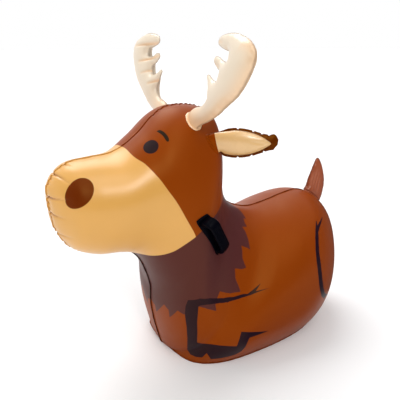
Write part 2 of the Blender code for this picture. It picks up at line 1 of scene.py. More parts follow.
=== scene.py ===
"""Looks of an inflatable animal hopper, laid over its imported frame.

Metres, +Z up. The animal faces -Y and its left side is +X.
"""

import json
import math

import bmesh
import bpy
import numpy as np
from bpy.props import FloatProperty, FloatVectorProperty, IntProperty, PointerProperty
from mathutils import Matrix, Vector
from mathutils.bvhtree import BVHTree
from mathutils.geometry import delaunay_2d_cdt
from mathutils.kdtree import KDTree


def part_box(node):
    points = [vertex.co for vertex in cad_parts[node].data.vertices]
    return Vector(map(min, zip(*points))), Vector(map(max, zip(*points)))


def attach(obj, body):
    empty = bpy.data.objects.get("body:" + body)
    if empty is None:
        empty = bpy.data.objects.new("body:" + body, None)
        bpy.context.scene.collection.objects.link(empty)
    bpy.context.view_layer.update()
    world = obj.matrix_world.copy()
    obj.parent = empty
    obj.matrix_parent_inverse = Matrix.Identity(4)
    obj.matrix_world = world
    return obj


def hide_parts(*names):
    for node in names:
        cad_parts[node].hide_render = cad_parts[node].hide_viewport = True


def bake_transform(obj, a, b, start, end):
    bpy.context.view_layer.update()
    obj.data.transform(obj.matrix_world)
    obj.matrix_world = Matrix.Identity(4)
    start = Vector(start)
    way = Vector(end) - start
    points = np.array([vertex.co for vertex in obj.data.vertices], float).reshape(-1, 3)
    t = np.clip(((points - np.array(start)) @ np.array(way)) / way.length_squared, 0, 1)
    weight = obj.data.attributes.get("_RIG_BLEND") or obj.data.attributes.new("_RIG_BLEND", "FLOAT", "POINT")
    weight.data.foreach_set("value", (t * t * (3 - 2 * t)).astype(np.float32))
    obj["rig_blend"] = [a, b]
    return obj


bl_info = {
    "name": "Animal hopper",
    "version": (1, 0, 0),
    "blender": (4, 5, 0),
    "location": "View3D > Sidebar > Hopper",
    "description": "Builds the printed vinyl skins, grips, valve and stage of an inflatable hopper",
    "category": "Object",
}

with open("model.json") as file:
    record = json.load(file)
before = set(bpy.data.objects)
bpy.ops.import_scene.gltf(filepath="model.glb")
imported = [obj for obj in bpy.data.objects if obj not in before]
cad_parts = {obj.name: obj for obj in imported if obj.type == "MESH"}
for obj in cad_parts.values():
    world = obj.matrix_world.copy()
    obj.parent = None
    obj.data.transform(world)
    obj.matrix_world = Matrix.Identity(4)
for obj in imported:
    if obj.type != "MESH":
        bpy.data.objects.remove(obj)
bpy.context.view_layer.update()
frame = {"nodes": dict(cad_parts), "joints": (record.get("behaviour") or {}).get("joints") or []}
JOINTS = {joint["name"]: joint for joint in frame["joints"]}

# Ribs of the hull from nose to rump: y and z on the back, y and z on the belly, half width of
# the base edge, upper and lower half width, how far the rib bows out, and how far it swells up
# beside the seam
RIBS = np.array((
    (-0.4238, 0.376, -0.4202, 0.319, 0, 0, 0, -0.003, 0),
    (-0.4218, 0.381, -0.4185, 0.302, 0, 0.02106, 0.02106, -0.002, 0),
    (-0.409, 0.398, -0.4105, 0.283, 0, 0.04446, 0.04446, 0, 0),
    (-0.3845, 0.412, -0.39, 0.256, 0, 0.06708, 0.06708, 0, 0),
    (-0.3475, 0.416, -0.351, 0.239, 0, 0.078, 0.078, 0, 0),
    (-0.302, 0.4215, -0.31, 0.234, 0, 0.09064, 0.085, 0, 0),
    (-0.258, 0.447, -0.28, 0.225, 0, 0.09476, 0.092, 0, 0.0055),
    (-0.2115, 0.4885, -0.26, 0.205, 0, 0.09785, 0.104, 0, 0.00055),
    (-0.1635, 0.497, -0.246, 0.172, 0, 0.10506, 0.116, 0, 0),
    (-0.113, 0.484, -0.238, 0.14, 0, 0.10712, 0.128, 0, 0),
    (-0.094, 0.443, -0.238, 0.105, 0, 0.09785, 0.138, 0, 0),
    (-0.092, 0.38, -0.233, 0.068, 0, 0.0927, 0.144, 0, 0),
    (-0.082, 0.325, -0.225, 0.033, 0, 0.09476, 0.147, 0, 0),
    (-0.055, 0.287, -0.215, 0.0011, 0, 0.105, 0.15, 0, 0),
    (-0.005, 0.268, -0.19954, 0.0011, 0.08714, 0.12024, 0.15364, 0, 0),
    (0.045, 0.271, -0.14784, 0.0011, 0.12482, 0.1478, 0.1645, 0, 0),
    (0.093, 0.2795, -0.05641, 0.0011, 0.13248, 0.16032, 0.167, -0.002, 0),
    (0.14, 0.2835, 0.03738, 0.0011, 0.12524, 0.1503, 0.1645, -0.005, 0),
    (0.18, 0.2685, 0.1003, 0.0011, 0.10649, 0.12358, 0.14446, -0.003, 0),
    (0.211, 0.2385, 0.14608, 0.0011, 0.07505, 0.08517, 0.10772, 0.005, 0),
    (0.228, 0.2015, 0.1667, 0.0011, 0.04138, 0.04509, 0.05678, 0.017, 0),
    (0.233, 0.1715, 0.1725, 0.0011, 0, 0, 0, 0.026, 0),
))
LAST_RIB = len(RIBS) - 1
BASE_RIB = 13
CROWN_PEAK = 0.14
SEAM_X = 0.00095
EDGE_Z = 0.0011

# Gathers of the weld: run, from, to, spacing, depth, half width, length
GATHERS = (
    ("nose", 0.0, 1.0, 0.0115, 0.0024, 0.0016, 0.026),
    ("back", 0.0, 3.4, 0.0120, 0.0022, 0.0017, 0.024),
    ("belly", 0.0, 4.4, 0.0130, 0.0020, 0.0018, 0.022),
    ("back", 3.4, 6.3, 0.0300, 0.0004, 0.0030, 0.010),
    ("back", 6.7, 9.3, 0.0090, 0.0042, 0.0018, 0.017),
    ("back", 9.3, 21.0, 0.0260, 0.0004, 0.0030, 0.010),
    ("belly", 4.4, 13.0, 0.0280, 0.0004, 0.0030, 0.010),
    ("rump", 0.0, 1.0, 0.0180, 0.0006, 0.0026, 0.010),
    ("base", 13.0, 21.0, 0.0170, 0.0008, 0.0030, 0.010),
)
# Long creases of the nose: run, place, depth, half width, length, lean
CREASES = (
    ("back", 1.84, 0.0060, 0.0017, 0.056, 0.10),
    ("back", 2.75, 0.0030, 0.0016, 0.030, 0.25),
    ("nose", 0.39, 0.0064, 0.0017, 0.064, 0.05),
    ("nose", 0.72, 0.0060, 0.0017, 0.060, -0.10),
    ("belly", 1.63, 0.0056, 0.0017, 0.052, -0.15),
    ("belly", 2.45, 0.0030, 0.0016, 0.026, -0.20),
    ("belly", 2.97, 0.0046, 0.0017, 0.040, -0.20),
)
# The weld itself: run, from, to, width of its flange, and how dark the painted shade along it is
WELDS = (
    ("back", 0.0, 5.4, 0.0016, 0.22),
    ("back", 5.4, 9.4, 0.0014, 0.14),
    ("back", 9.4, 21.0, 0.0018, 0.30),
    ("rump", 0.0, 1.0, 0.0018, 0.45),
    ("base", 13.0, 21.0, 0.0018, 0.45),
    ("belly", 5.2, 13.0, 0.0020, 0.95),
    ("belly", 0.0, 5.2, 0.0018, 0.25),
    ("nose", 0.0, 1.0, 0.0020, 0.25),
)

# Printed areas on a side panel, as (rib, share of the way down the side)
MUZZLE_EDGE = (
    (5.340, -0.030), (5.394, 0.150), (5.710, 0.257), (6.127, 0.360), (6.728, 0.467),
    (7.571, 0.540), (8.618, 0.589),
)
JAW_EDGE = (
    (8.618, 0.589), (8.120, 0.649), (7.615, 0.718), (6.793, 0.826), (5.987, 0.897),
    (5.450, 0.945), (5.150, 1.030),
)
MANE_TOP = (
    (8.618, 0.589), (8.887, 0.552), (9.157, 0.515), (9.846, 0.444), (10.256, 0.394),
    (11.079, 0.287), (11.507, 0.189), (11.750, 0.090), (11.850, -0.030),
)
MANE_LOCKS = (
    (12.750, -0.030), (13.050, 0.030), (13.365, 0.078), (13.449, 0.125), (13.519, 0.163),
    (13.389, 0.160), (13.407, 0.191), (13.504, 0.216), (13.239, 0.214), (13.385, 0.240),
    (13.516, 0.283), (13.662, 0.346), (13.507, 0.328), (13.183, 0.306), (13.268, 0.331),
    (13.318, 0.364), (13.464, 0.396), (13.601, 0.423), (13.368, 0.413), (13.173, 0.401),
    (12.969, 0.396), (13.120, 0.436), (13.367, 0.475), (13.633, 0.526), (13.309, 0.500),
    (13.139, 0.491), (12.968, 0.489), (12.631, 0.502), (12.269, 0.520), (12.227, 0.547),
    (12.276, 0.573), (12.515, 0.581), (12.046, 0.610), (11.626, 0.637), (11.217, 0.668),
    (10.987, 0.717), (10.868, 0.766), (10.482, 0.801), (10.700, 0.861), (10.285, 0.859),
    (9.930, 0.886), (10.167, 0.920), (10.505, 0.961), (10.103, 0.964), (9.699, 1.030),
)
FORELEG = (
    (10.537, 0.748), (10.385, 0.728), (10.968, 0.653), (11.685, 0.589), (12.411, 0.537),
    (12.886, 0.508), (13.001, 0.503), (13.116, 0.506), (13.346, 0.520), (14.023, 0.567),
    (14.191, 0.559), (14.450, 0.538), (14.340, 0.570), (14.844, 0.575), (14.178, 0.580),
    (13.952, 0.575), (13.691, 0.561), (13.331, 0.534), (13.139, 0.524), (12.950, 0.524),
    (12.535, 0.548), (12.108, 0.581), (11.657, 0.619), (11.238, 0.661), (11.188, 0.671),
    (11.776, 0.700), (12.250, 0.717), (12.767, 0.741), (12.888, 0.735), (12.965, 0.731),
    (13.052, 0.732), (13.263, 0.750), (13.624, 0.791), (13.881, 0.815), (14.112, 0.830),
    (14.838, 0.865), (14.754, 0.836), (14.553, 0.768), (15.075, 0.795), (15.600, 0.825),
    (15.045, 0.825), (15.196, 0.890), (15.222, 0.924), (15.147, 0.943), (14.818, 0.951),
    (14.437, 0.951), (14.297, 0.930), (14.006, 0.890), (14.092, 0.937), (13.898, 0.940),
    (13.677, 0.925), (13.462, 0.886), (13.282, 0.855), (13.030, 0.818), (12.862, 0.808),
    (12.741, 0.804), (12.547, 0.796), (12.218, 0.784), (11.580, 0.768), (10.872, 0.760),
)
THIGH = (
    (16.765, 0.319), (16.748, 0.352), (17.325, 0.305), (16.869, 0.359), (16.727, 0.383),
    (16.678, 0.442), (16.695, 0.494), (16.788, 0.542), (16.903, 0.591), (17.052, 0.641),
    (17.266, 0.692), (17.576, 0.736), (18.441, 0.793), (18.040, 0.759), (17.708, 0.772),
    (17.323, 0.738), (17.060, 0.693), (16.906, 0.656), (16.725, 0.589), (16.592, 0.529),
    (16.521, 0.472), (16.540, 0.409), (16.613, 0.368),
)
BROW = (
    (6.497, 0.151), (6.597, 0.162), (6.716, 0.196), (6.799, 0.231), (6.792, 0.248),
    (6.715, 0.239), (6.637, 0.202), (6.541, 0.167),
)
BROW_GROWTH = 0.0007
THIGH_GROWTH = 0.0009
EYE_AT = (6.105, 0.196)
NOSTRIL_AT = (2.964, 0.333)
NOSTRIL_TOP = (3.458, 0.240)
NOSTRIL_SIDE = (3.411, 0.378)

# Outlines of the inflated pieces in their own planes
ANTLER_OUTLINE = (
    (-0.004, 0.020), (0.015, 0.028), (0.028, 0.044), (0.022, 0.063), (0.015, 0.076), (0.013, 0.079),
    (0.020, 0.081), (0.035, 0.073), (0.050, 0.071), (0.055, 0.086), (0.042, 0.094), (0.030, 0.104),
    (0.031, 0.111), (0.043, 0.111), (0.060, 0.104), (0.075, 0.106), (0.074, 0.120), (0.058, 0.124),
    (0.039, 0.131), (0.035, 0.137), (0.041, 0.144), (0.061, 0.148), (0.083, 0.148), (0.104, 0.143),
    (0.123, 0.135), (0.137, 0.121), (0.137, 0.103), (0.130, 0.087), (0.119, 0.068), (0.103, 0.049),
    (0.083, 0.035), (0.061, 0.018), (0.038, 0.004), (0.022, -0.005),
)
ANTLER_LEAN = math.radians(9)
ANTLER_SPLAY = math.radians(41)
EAR_OUTLINE = (
    (-0.0205, 0.015), (-0.0225, 0.034), (-0.0200, 0.056), (-0.0135, 0.076), (-0.0055, 0.090),
    (0.0, 0.096), (0.0055, 0.090), (0.0135, 0.076), (0.0200, 0.056), (0.0225, 0.034),
    (0.0205, 0.015),
)
EAR_SWEEP = math.radians(51)
EAR_SLANT = math.radians(22)
# The lining of an ear starts at a straight line across its root
LINING_FOOT = (-0.0168, 0.0021, 0.0)
LINING_WAY = (0.16, 0.987, 0.0)
EAR_NOTCHES = (0.235, 0.355, 0.425, 0.475, 0.535, 0.61, 0.71, 0.82)
TAIL_OUTLINE = (
    (-0.0360, 0.0120), (-0.0410, 0.0280), (-0.0478, 0.0500), (-0.0500, 0.0640), (-0.0400, 0.0660),
    (-0.0170, 0.0570), (0.0070, 0.0400), (0.0220, 0.0180),
)


def length_property(name, description, default, low, high):
    return FloatProperty(
        name=name, description=description, default=default, min=low, max=high, unit="LENGTH")


class HopperSizes(bpy.types.PropertyGroup):
    """Sizes that a user may change."""

    seam_flange: FloatProperty(
        name="Seam flange", description="How wide the weld stands out, against its usual width",
        default=1.0, min=0.3, max=2.0, subtype="FACTOR")
    skin: length_property("Skin", "Thickness of the vinyl sheet", 0.0007, 0.0003, 0.0008)
    ribs: IntProperty(
        name="Ribs", description="Faces along a side panel", default=310, min=60, max=400)
    rows: IntProperty(
        name="Rows", description="Faces down a side panel", default=94, min=30, max=160)
    eye_radius: length_property("Eye", "Radius of the printed eye", 0.0136, 0.004, 0.03)
    antler_root: length_property(
        "Antler root", "Width of an antler where it leaves the head", 0.036, 0.02, 0.05)
    antler_depth: length_property(
        "Antler depth", "Thickness of an inflated antler", 0.032, 0.01, 0.06)
    ear_root: length_property(
        "Ear root", "Width of an ear where it leaves the head", 0.036, 0.02, 0.05)
    ear_depth: length_property("Ear depth", "Thickness of an inflated ear", 0.022, 0.006, 0.04)
    tail_root: length_property(
        "Tail root", "Width of the tail where it leaves the rump", 0.060, 0.03, 0.08)
    tail_depth: length_property("Tail depth", "Thickness of the inflated tail", 0.026, 0.006, 0.04)
    grip_length: length_property("Grip length", "Length of a moulded grip", 0.079, 0.05, 0.10)
    grip_width: length_property("Grip width", "Width of a moulded grip", 0.022, 0.010, 0.03)
    grip_height: length_property(
        "Grip height", "How far a grip stands off the neck", 0.020, 0.015, 0.04)
    grip_bar: length_property("Grip bar", "Thickness of the bar of a grip", 0.0085, 0.005, 0.012)


def colour_property(name, description, default):
    return FloatVectorProperty(
        name=name, description=description, default=default, size=3, min=0.0, max=1.0,
        subtype="COLOR")


class HopperColours(bpy.types.PropertyGroup):
    """Colours of the prints, mouldings and stage."""

    coat: colour_property("Coat", "Brown of the head and body", (0.278, 0.043, 0.001))
    muzzle: colour_property("Muzzle", "Tan of the muzzle", (0.81, 0.415, 0.088))
    mane: colour_property("Mane", "Dark brown of the mane", (0.09, 0.022, 0.024))
    line: colour_property("Line", "Ink of the leg lines", (0.012, 0.0025, 0.013))
    nostril: colour_property("Nostril", "Brown of the nostrils", (0.15, 0.02, 0.001))
    eye: colour_property("Eye", "Ink of the eyes", (0.004, 0.002, 0.013))
    brow: colour_property("Brow", "Ink of the brows", (0.002, 0.002, 0.004))
    antler: colour_property("Antler", "Ivory of the antlers", (0.9, 0.755, 0.57))
    # Painted warm light of the antlers: a glow at the root, and shade along the outer part of the weld and
    # in the creases
    antler_root: colour_property("Antler root", "Warmer tone at the root", (1., 0.58, 0.26))
    ear: colour_property("Ear", "Pale tan of the ear linings", (0.86, 0.525, 0.205))
    ear_rim: colour_property("Ear rim", "Brown of the ear flanges", (0.185, 0.033, 0.001))
    tail: colour_property("Tail", "Reddish brown of the tail", (0.37, 0.085, 0.032))
    # Painted highlight on the folds of the tail
    tail_fold_highlight: colour_property("Tail fold", "Paler russet on the folds of the tail", (0.62, 0.21, 0.11))
    moulding: colour_property("Moulding", "Black of the grips", (0.0012, 0.0012, 0.0030))
    valve: colour_property("Valve", "Milky white of the valve", (0.780, 0.780, 0.750))
    floor: colour_property("Floor", "Pale floor", (0.900, 0.900, 0.905))


def sizes():
    return bpy.context.scene.hopper_sizes


def colours():
    return bpy.context.scene.hopper_colours


# Hull
def cubic(before, start, end, after, f):
    """Points between start and end on the smooth curve through all four."""
    lead = (end - before) / 2
    trail = (after - start) / 2
    bend = 3 * (end - start) - 2 * lead - trail
    close = 2 * (start - end) + lead + trail
    return start + f * (lead + f * (bend + f * close))


def hull_points(s, t):
    """Left outside face of the hull, s from nose to rump and t from the back down the side."""
    i = np.minimum(s.astype(int), LAST_RIB - 1)
    around = [RIBS[np.clip(i + k, 0, LAST_RIB)] for k in (-1, 0, 1, 2)]
    rib = np.moveaxis(cubic(*around, (s - i)[..., None]), -1, 0)
    back_y, back_z, belly_y, belly_z, edge, upper, lower, bow, crown = rib
    share = np.clip(np.maximum(edge, 0) / np.maximum(lower, 1e-9), 0, 1)
    cut = np.where(lower > edge, np.arcsin(share), 0)
    angle = (math.pi - cut) * t
    down = (1 - np.cos(angle)) / (1 + np.cos(cut))
    half = np.maximum(upper + (lower - upper) * down * down * (3 - 2 * down), 0)
    span_y = belly_y - back_y
    span_z = belly_z - back_z
    span = np.hypot(span_y, span_z)
    aside = bow * np.sin(math.pi * t) / span
    down = down - crown / span * t / CROWN_PEAK * np.exp(1 - t / CROWN_PEAK) * (1 - t)
    y = back_y + span_y * down - aside * span_z
    z = back_z + span_z * down + aside * span_y
    return np.stack([SEAM_X + half * np.sin(angle), y, np.maximum(z, EDGE_Z)], -1)


def hull_normals(s, t):
    step = 0.01
    along = hull_points(np.minimum(s + step, LAST_RIB), t) - hull_points(np.maximum(s - step, 0), t)
    down = hull_points(s, np.minimum(t + step, 1)) - hull_points(s, np.maximum(t - step, 0))
    normal = np.cross(down, along)
    return normal / np.maximum(np.linalg.norm(normal, axis=-1, keepdims=True), 1e-9)


def hull_point(at):
    return Vector(hull_points(np.array([at[0]]), np.array([at[1]]))[0])


# Ribs of a fine panel: the points and rows that measure it, where its nose ends and its crown lies,
# and how much closer than even the ribs are on the nose, on the crown and elsewhere
TRAVEL_POINTS = 2101
TRAVEL_ROWS = (0.0, 0.35, 0.7, 1.0)
NOSE_END = 3.6
CROWN_FROM = 7.2
CROWN_TO = 9.5
FINE_NOSE = 2.6
FINE_CROWN = 2.0
FINE_BODY = 1.2


def rib_spread():
    """Where the ribs of a fine panel lie: even along the skin, and closer together on the head."""
    s = np.linspace(0, LAST_RIB, TRAVEL_POINTS)
    rows = [hull_points(s, np.full_like(s, t)) for t in TRAVEL_ROWS]
    steps = np.max([np.linalg.norm(np.diff(row, axis=0), axis=1) for row in rows], axis=0)
    on_crown = (s[:-1] > CROWN_FROM) & (s[:-1] < CROWN_TO)
    steps *= np.where(s[:-1] < NOSE_END, FINE_NOSE, np.where(on_crown, FINE_CROWN, FINE_BODY))
    travel = np.concatenate([[0.0], np.cumsum(steps)])
    return travel / travel[-1], s


RUN_POINTS = 1200


def seam_runs():
    """The edge of a left panel in five runs, as run name, s and t, in order round the panel."""
    even = np.linspace(0, 1, RUN_POINTS, endpoint=False)
    none = np.zeros_like(even)
    return (
        ("back", even * LAST_RIB, none),
        ("rump", none + LAST_RIB, even),
        ("base", LAST_RIB - even * (LAST_RIB - BASE_RIB), none + 1),
        ("belly", BASE_RIB * (1 - even), none + 1),
        ("nose", none, 1 - even),
    )


def search_tree(places):
    """A tree that finds the nearest of some places."""
    tree = KDTree(len(places))
    for i, place in enumerate(places):
        tree.insert(place, i)
    tree.balance()
    return tree


class Edge:
    """A line of weld with the travel along it, and a search for the nearest place on it."""

    def __init__(self, places, outward):
        self.outward = outward
        steps = np.linalg.norm(np.roll(places, -1, axis=0) - places, axis=1)
        self.travel = np.concatenate([[0.0], np.cumsum(steps)[:-1]])
        self.length = float(steps.sum())
        self.tree = search_tree(places)

    def nearest(self, points):
        """Index on the line and distance for each point."""
        found = [self.tree.find(point)[1:] for point in points]
        return np.array([f[0] for f in found]), np.array([f[1] for f in found])


def panel_edge():
    runs = seam_runs()
    places = hull_points(np.concatenate([r[1] for r in runs]), np.concatenate([r[2] for r in runs]))
    way = np.roll(places, -1, axis=0) - np.roll(places, 1, axis=0)
    outward = np.stack([np.zeros(len(way)), -way[:, 2], way[:, 1]], 1)
    outward /= np.maximum(np.linalg.norm(outward, axis=1, keepdims=True), 1e-9)
    return Edge(places, outward)


# How far the puckers of a weld vary, as shares of their usual values, and how far they lean
PUCKER_START = (0.2, 0.8)
PUCKER_DEPTH = (0.45, 1.35)
PUCKER_WIDTH = (0.8, 1.3)
PUCKER_LENGTH = (0.55, 1.35)
PUCKER_LEAN = (-0.28, 0.28)
PUCKER_SPACING = (0.65, 1.4)


def pucker_set(rng, low, high, spacing, depth, width, length):
    """Puckers between two places on a weld: place, depth, half width, length and lean."""
    made = []
    at = low + spacing * rng.uniform(*PUCKER_START)
    while at < high:
        made.append((at, depth * rng.uniform(*PUCKER_DEPTH), width * rng.uniform(*PUCKER_WIDTH),
                     length * rng.uniform(*PUCKER_LENGTH), rng.uniform(*PUCKER_LEAN)))
        at += spacing * rng.uniform(*PUCKER_SPACING)
    return made


def seam_places():
    """For each run of the seam, its values of s or t and where they lie in the whole line."""
    start = 0
    spans = {}
    for name, s, t in seam_runs():
        spans[name] = (s if name in ("back", "base", "belly") else t, slice(start, start + len(s)))
        start += len(s)
    return spans


HULL_SEED = 11
CREASE_CLEAR = 0.006


def hull_puckers(edge):
    """The long creases of the nose, and the gathers of the weld that lie clear of them."""
    rng = np.random.default_rng(HULL_SEED)
    made = []
    spans = seam_places()
    for name, at, *rest in CREASES:
        values, where = spans[name]
        made.append((edge.travel[where][np.argmin(np.abs(values - at))], *rest))
    long_ones = [crease[0] for crease in made]
    for name, low, high, *rest in GATHERS:
        values, where = spans[name]
        chosen = edge.travel[where][(values >= low) & (values <= high)]
        made += [pucker for pucker in pucker_set(rng, chosen.min(), chosen.max(), *rest)
                 if min(abs(pucker[0] - at) for at in long_ones) > CREASE_CLEAR]
    return made


WELD_BLUR = 40


def weld_values():
    """Width of the flange and darkness of the painted shade along the weld, all along the seam."""
    spans = seam_places()
    values = np.zeros((len(spans) * RUN_POINTS, 2))
    for name, low, high, width, dark in WELDS:
        along, where = spans[name]
        values[where][(along >= low) & (along <= high)] = (width, dark)
    soft = np.ones(2 * WELD_BLUR + 1) / (2 * WELD_BLUR + 1)
    closed = np.vstack([values[-WELD_BLUR:], values, values[:WELD_BLUR]])
    return np.stack([np.convolve(closed[:, k], soft, "valid") for k in (0, 1)], 1)


# How a pucker fades away from its weld, fans out on the way, and how sharp it is across
PUCKER_FADE = 1.2
PUCKER_FAN = 0.6
PUCKER_SHARP = 1.35


def pucker_depth(travel, away, puckers, length):
    """How far the puckers draw the sheet in."""
    sunk = np.zeros_like(travel)
    for at, depth, width, reach, lean in puckers:
        beside = (travel - at - lean * away + length / 2) % length - length / 2
        fade = np.clip(1 - away / reach, 0, 1) ** PUCKER_FADE
        half = width * (1 + PUCKER_FAN * away / reach)
        sunk += depth * fade * np.exp(-(np.abs(beside) / half) ** PUCKER_SHARP)
    return sunk


# Prints
def smooth_line(points, steps=8):
    """More points on a smooth open curve through the given ones."""
    points = np.array(points, float)
    ends = np.vstack([2 * points[0] - points[1], points, 2 * points[-1] - points[-2]])
    f = np.arange(steps)[:, None] / steps
    fine = [cubic(*ends[i - 1:i + 3], f) for i in range(1, len(ends) - 2)]
    return np.vstack([*fine, points[-1:]])


def within(x, y, outline):
    """True for points inside a closed outline."""
    inside = np.zeros(x.shape, bool)
    for (ax, ay), (bx, by) in zip(outline, np.roll(outline, -1, axis=0)):
        if ay == by:
            continue
        cross = ax + (y - ay) / (by - ay) * (bx - ax)
        inside ^= ((ay > y) != (by > y)) & (cross > x)
    return inside


OUTLINE_STEPS = 80


def print_distance(outline, s, t, places):
    """Distance of panel points from the edge of a printed area, below 0 inside it."""
    outline = np.array(outline, float)
    share = np.linspace(0, 1, OUTLINE_STEPS, endpoint=False)[:, None]
    fine = np.vstack([start + share * (end - start)
                      for start, end in zip(outline, np.roll(outline, -1, axis=0))])
    rib, down = fine.T
    on_panel = (down >= 0) & (down <= 1) & (rib >= 0) & (rib <= LAST_RIB)
    tree = search_tree(hull_points(rib[on_panel], down[on_panel]))
    away = np.array([tree.find(place)[2] for place in places])
    return np.where(within(s, t, outline), -away, away)


# Corners beyond the edges of a panel that close the print of the muzzle
MUZZLE_START = ((-1, -0.2), (5.45, -0.2))
MUZZLE_END = ((5.1, 1.2), (-1, 1.2))
# How far off the nostril is measured, its rough radius, and the distance given farther off
NOSTRIL_REACH = 0.05
NOSTRIL_RADIUS = 0.023
NOSTRIL_BEYOND = 0.02


def print_layers(s, t, places):
    """Signed distances of all prints at the points of a panel."""
    jaw = smooth_line(JAW_EDGE)
    muzzle = [*MUZZLE_START, *smooth_line(MUZZLE_EDGE), *jaw[1:], *MUZZLE_END]
    mane = [*jaw[::-1], *smooth_line(MANE_TOP)[1:], *MANE_LOCKS]
    eye = np.linalg.norm(places - hull_point(EYE_AT), axis=1) - sizes().eye_radius
    middle = hull_point(NOSTRIL_AT)
    tall = np.array(hull_point(NOSTRIL_TOP) - middle)
    wide = np.array(hull_point(NOSTRIL_SIDE) - middle)
    off = places - np.array(middle)
    oval = np.hypot(off @ tall / (tall @ tall), off @ wide / (wide @ wide))
    far = np.linalg.norm(off, axis=1) > NOSTRIL_REACH
    return {
        "muzzle": print_distance(muzzle, s, t, places),
        "mane": print_distance(mane, s, t, places),
        "line": np.minimum(print_distance(FORELEG, s, t, places),
                           print_distance(THIGH, s, t, places) - THIGH_GROWTH),
        "eye": eye,
        "brow": print_distance(smooth_line([*BROW, BROW[0]])[:-1], s, t, places) - BROW_GROWTH,
        "nostril": np.where(far, NOSTRIL_BEYOND, (oval - 1) * NOSTRIL_RADIUS),
    }


# Meshes and objects
def add_piece(name, bm, finishes, body, nodes=()):
    """Store a finished bmesh as a smooth piece on a body, standing for some CAD nodes."""
    mesh = bpy.data.meshes.new(name)
    bm.to_mesh(mesh)
    bm.free()
    for finish in finishes:
        mesh.materials.append(finish)
    mesh.polygons.foreach_set("use_smooth", [True] * len(mesh.polygons))
    made = bpy.data.objects.new(name, mesh)
    bpy.context.scene.collection.objects.link(made)
    if body:
        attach(made, body)
    if nodes:
        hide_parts(*nodes)
    return made


def thicken(made, thickness):
    sheet = made.modifiers.new("sheet", "SOLIDIFY")
    sheet.thickness = thickness


SEARCH_RIBS = 210
SEARCH_ROWS = 60


def hull_search():
    """A tree of the whole hull, to lay other pieces on it."""
    bm = bmesh.new()
    bmesh.ops.create_grid(bm, x_segments=SEARCH_RIBS, y_segments=SEARCH_ROWS, size=1.0)
    s = np.array([(vert.co.x + 1) / 2 * LAST_RIB for vert in bm.verts])
    t = np.array([(1 - vert.co.y) / 2 for vert in bm.verts])
    for vert, place in zip(bm.verts, hull_points(s, t)):
        vert.co = place
        if place[0] < SEAM_X + 1e-6:
            vert.co.x = 0.0
    bmesh.ops.mirror(bm, geom=bm.verts[:] + bm.edges[:] + bm.faces[:], axis="X", merge_dist=-1.0)
    tree = BVHTree.FromBMesh(bm)
    bm.free()
    return tree


def frame_matrix(across, along, origin):
    facing = across.cross(along)
    turn = Matrix((across, along, facing)).transposed().to_4x4()
    return Matrix.Translation(origin) @ turn


def flip(bm):
    """Turn a left-hand piece into its right-hand twin."""
    bmesh.ops.scale(bm, vec=(-1.0, 1.0, 1.0), verts=bm.verts)
    bmesh.ops.reverse_faces(bm, faces=bm.faces)


# Shading
COLOUR = "NodeSocketColor"
VALUE = "NodeSocketFloat"
BLACK = (0.0, 0.0, 0.0, 1.0)
WHITE = (1.0, 1.0, 1.0, 1.0)
FULL_RANGE = (0.0, 1.0)


def new_node(tree, kind, **values):
    made = tree.nodes.new(kind)
    for key, value in values.items():
        if key in made.inputs:
            made.inputs[key].default_value = value
        else:
            setattr(made, key, value)
    return made


def feed(tree, socket, value):
    """Link an output to a socket, or set the socket to a plain value."""
    if isinstance(value, bpy.types.NodeSocket):
        tree.links.new(value, socket)
    else:
        socket.default_value = value


def maths(tree, operation, *values):
    """What an operation makes of sockets and plain numbers."""
    made = new_node(tree, "ShaderNodeMath", operation=operation)
    for socket, value in zip(made.inputs, values):
        feed(tree, socket, value)
    return made.outputs[0]


def ranged(tree, value, start, end, kind="LINEAR"):
    """A value carried over from one range to another."""
    made = new_node(tree, "ShaderNodeMapRange", interpolation_type=kind)
    feed(tree, made.inputs["Value"], value)
    for label, limit in zip(("From Min", "From Max", "To Min", "To Max"), (*start, *end)):
        feed(tree, made.inputs[label], limit)
    return made.outputs["Result"]


def mixed(tree, factor, under, over, blend="MIX"):
    """One colour laid over another."""
    made = new_node(tree, "ShaderNodeMix", data_type="RGBA", blend_type=blend)
    for socket, value in (("Factor", factor), (6, under), (7, over)):
        feed(tree, made.inputs[socket], value)
    return made.outputs[2]


def noise(tree, scale, detail, roughness):
    """Noise in the space of the object."""
    place = new_node(tree, "ShaderNodeTexCoord")
    made = new_node(tree, "ShaderNodeTexNoise", Scale=scale, Detail=detail, Roughness=roughness)
    feed(tree, made.inputs["Vector"], place.outputs["Object"])
    return made.outputs["Fac"]


def attribute(tree, name):
    return new_node(tree, "ShaderNodeAttribute", attribute_name=name).outputs["Fac"]


def rgba(colour):
    return (*colour, 1.0)


def bump(tree, shader, height, strength, distance):
    """Feed a height to a shader's normal."""
    made = new_node(tree, "ShaderNodeBump", Strength=strength, Distance=distance)
    feed(tree, made.inputs["Height"], height)
    feed(tree, shader.inputs["Normal"], made.outputs["Normal"])


def new_material(name, roughness=0.3):
    made = bpy.data.materials.new(name)
    made.use_nodes = True
    shader = made.node_tree.nodes["Principled BSDF"]
    shader.inputs["Roughness"].default_value = roughness
    return made, made.node_tree, shader


def new_group(name, inputs, outputs):
    """An empty shader group with its named sockets, and what enters and leaves it."""
    group = bpy.data.node_groups.new(name, "ShaderNodeTree")
    for direction, sockets in (("INPUT", inputs), ("OUTPUT", outputs)):
        for label, kind in sockets.items():
            group.interface.new_socket(label, in_out=direction, socket_type=kind)
    enter = group.nodes.new("NodeGroupInput")
    leave = group.nodes.new("NodeGroupOutput")
    return group, enter.outputs, leave.inputs


def group_node(tree, group, **values):
    made = tree.nodes.new("ShaderNodeGroup")
    made.node_tree = group
    for label, value in values.items():
        feed(tree, made.inputs[label], value)
    return made


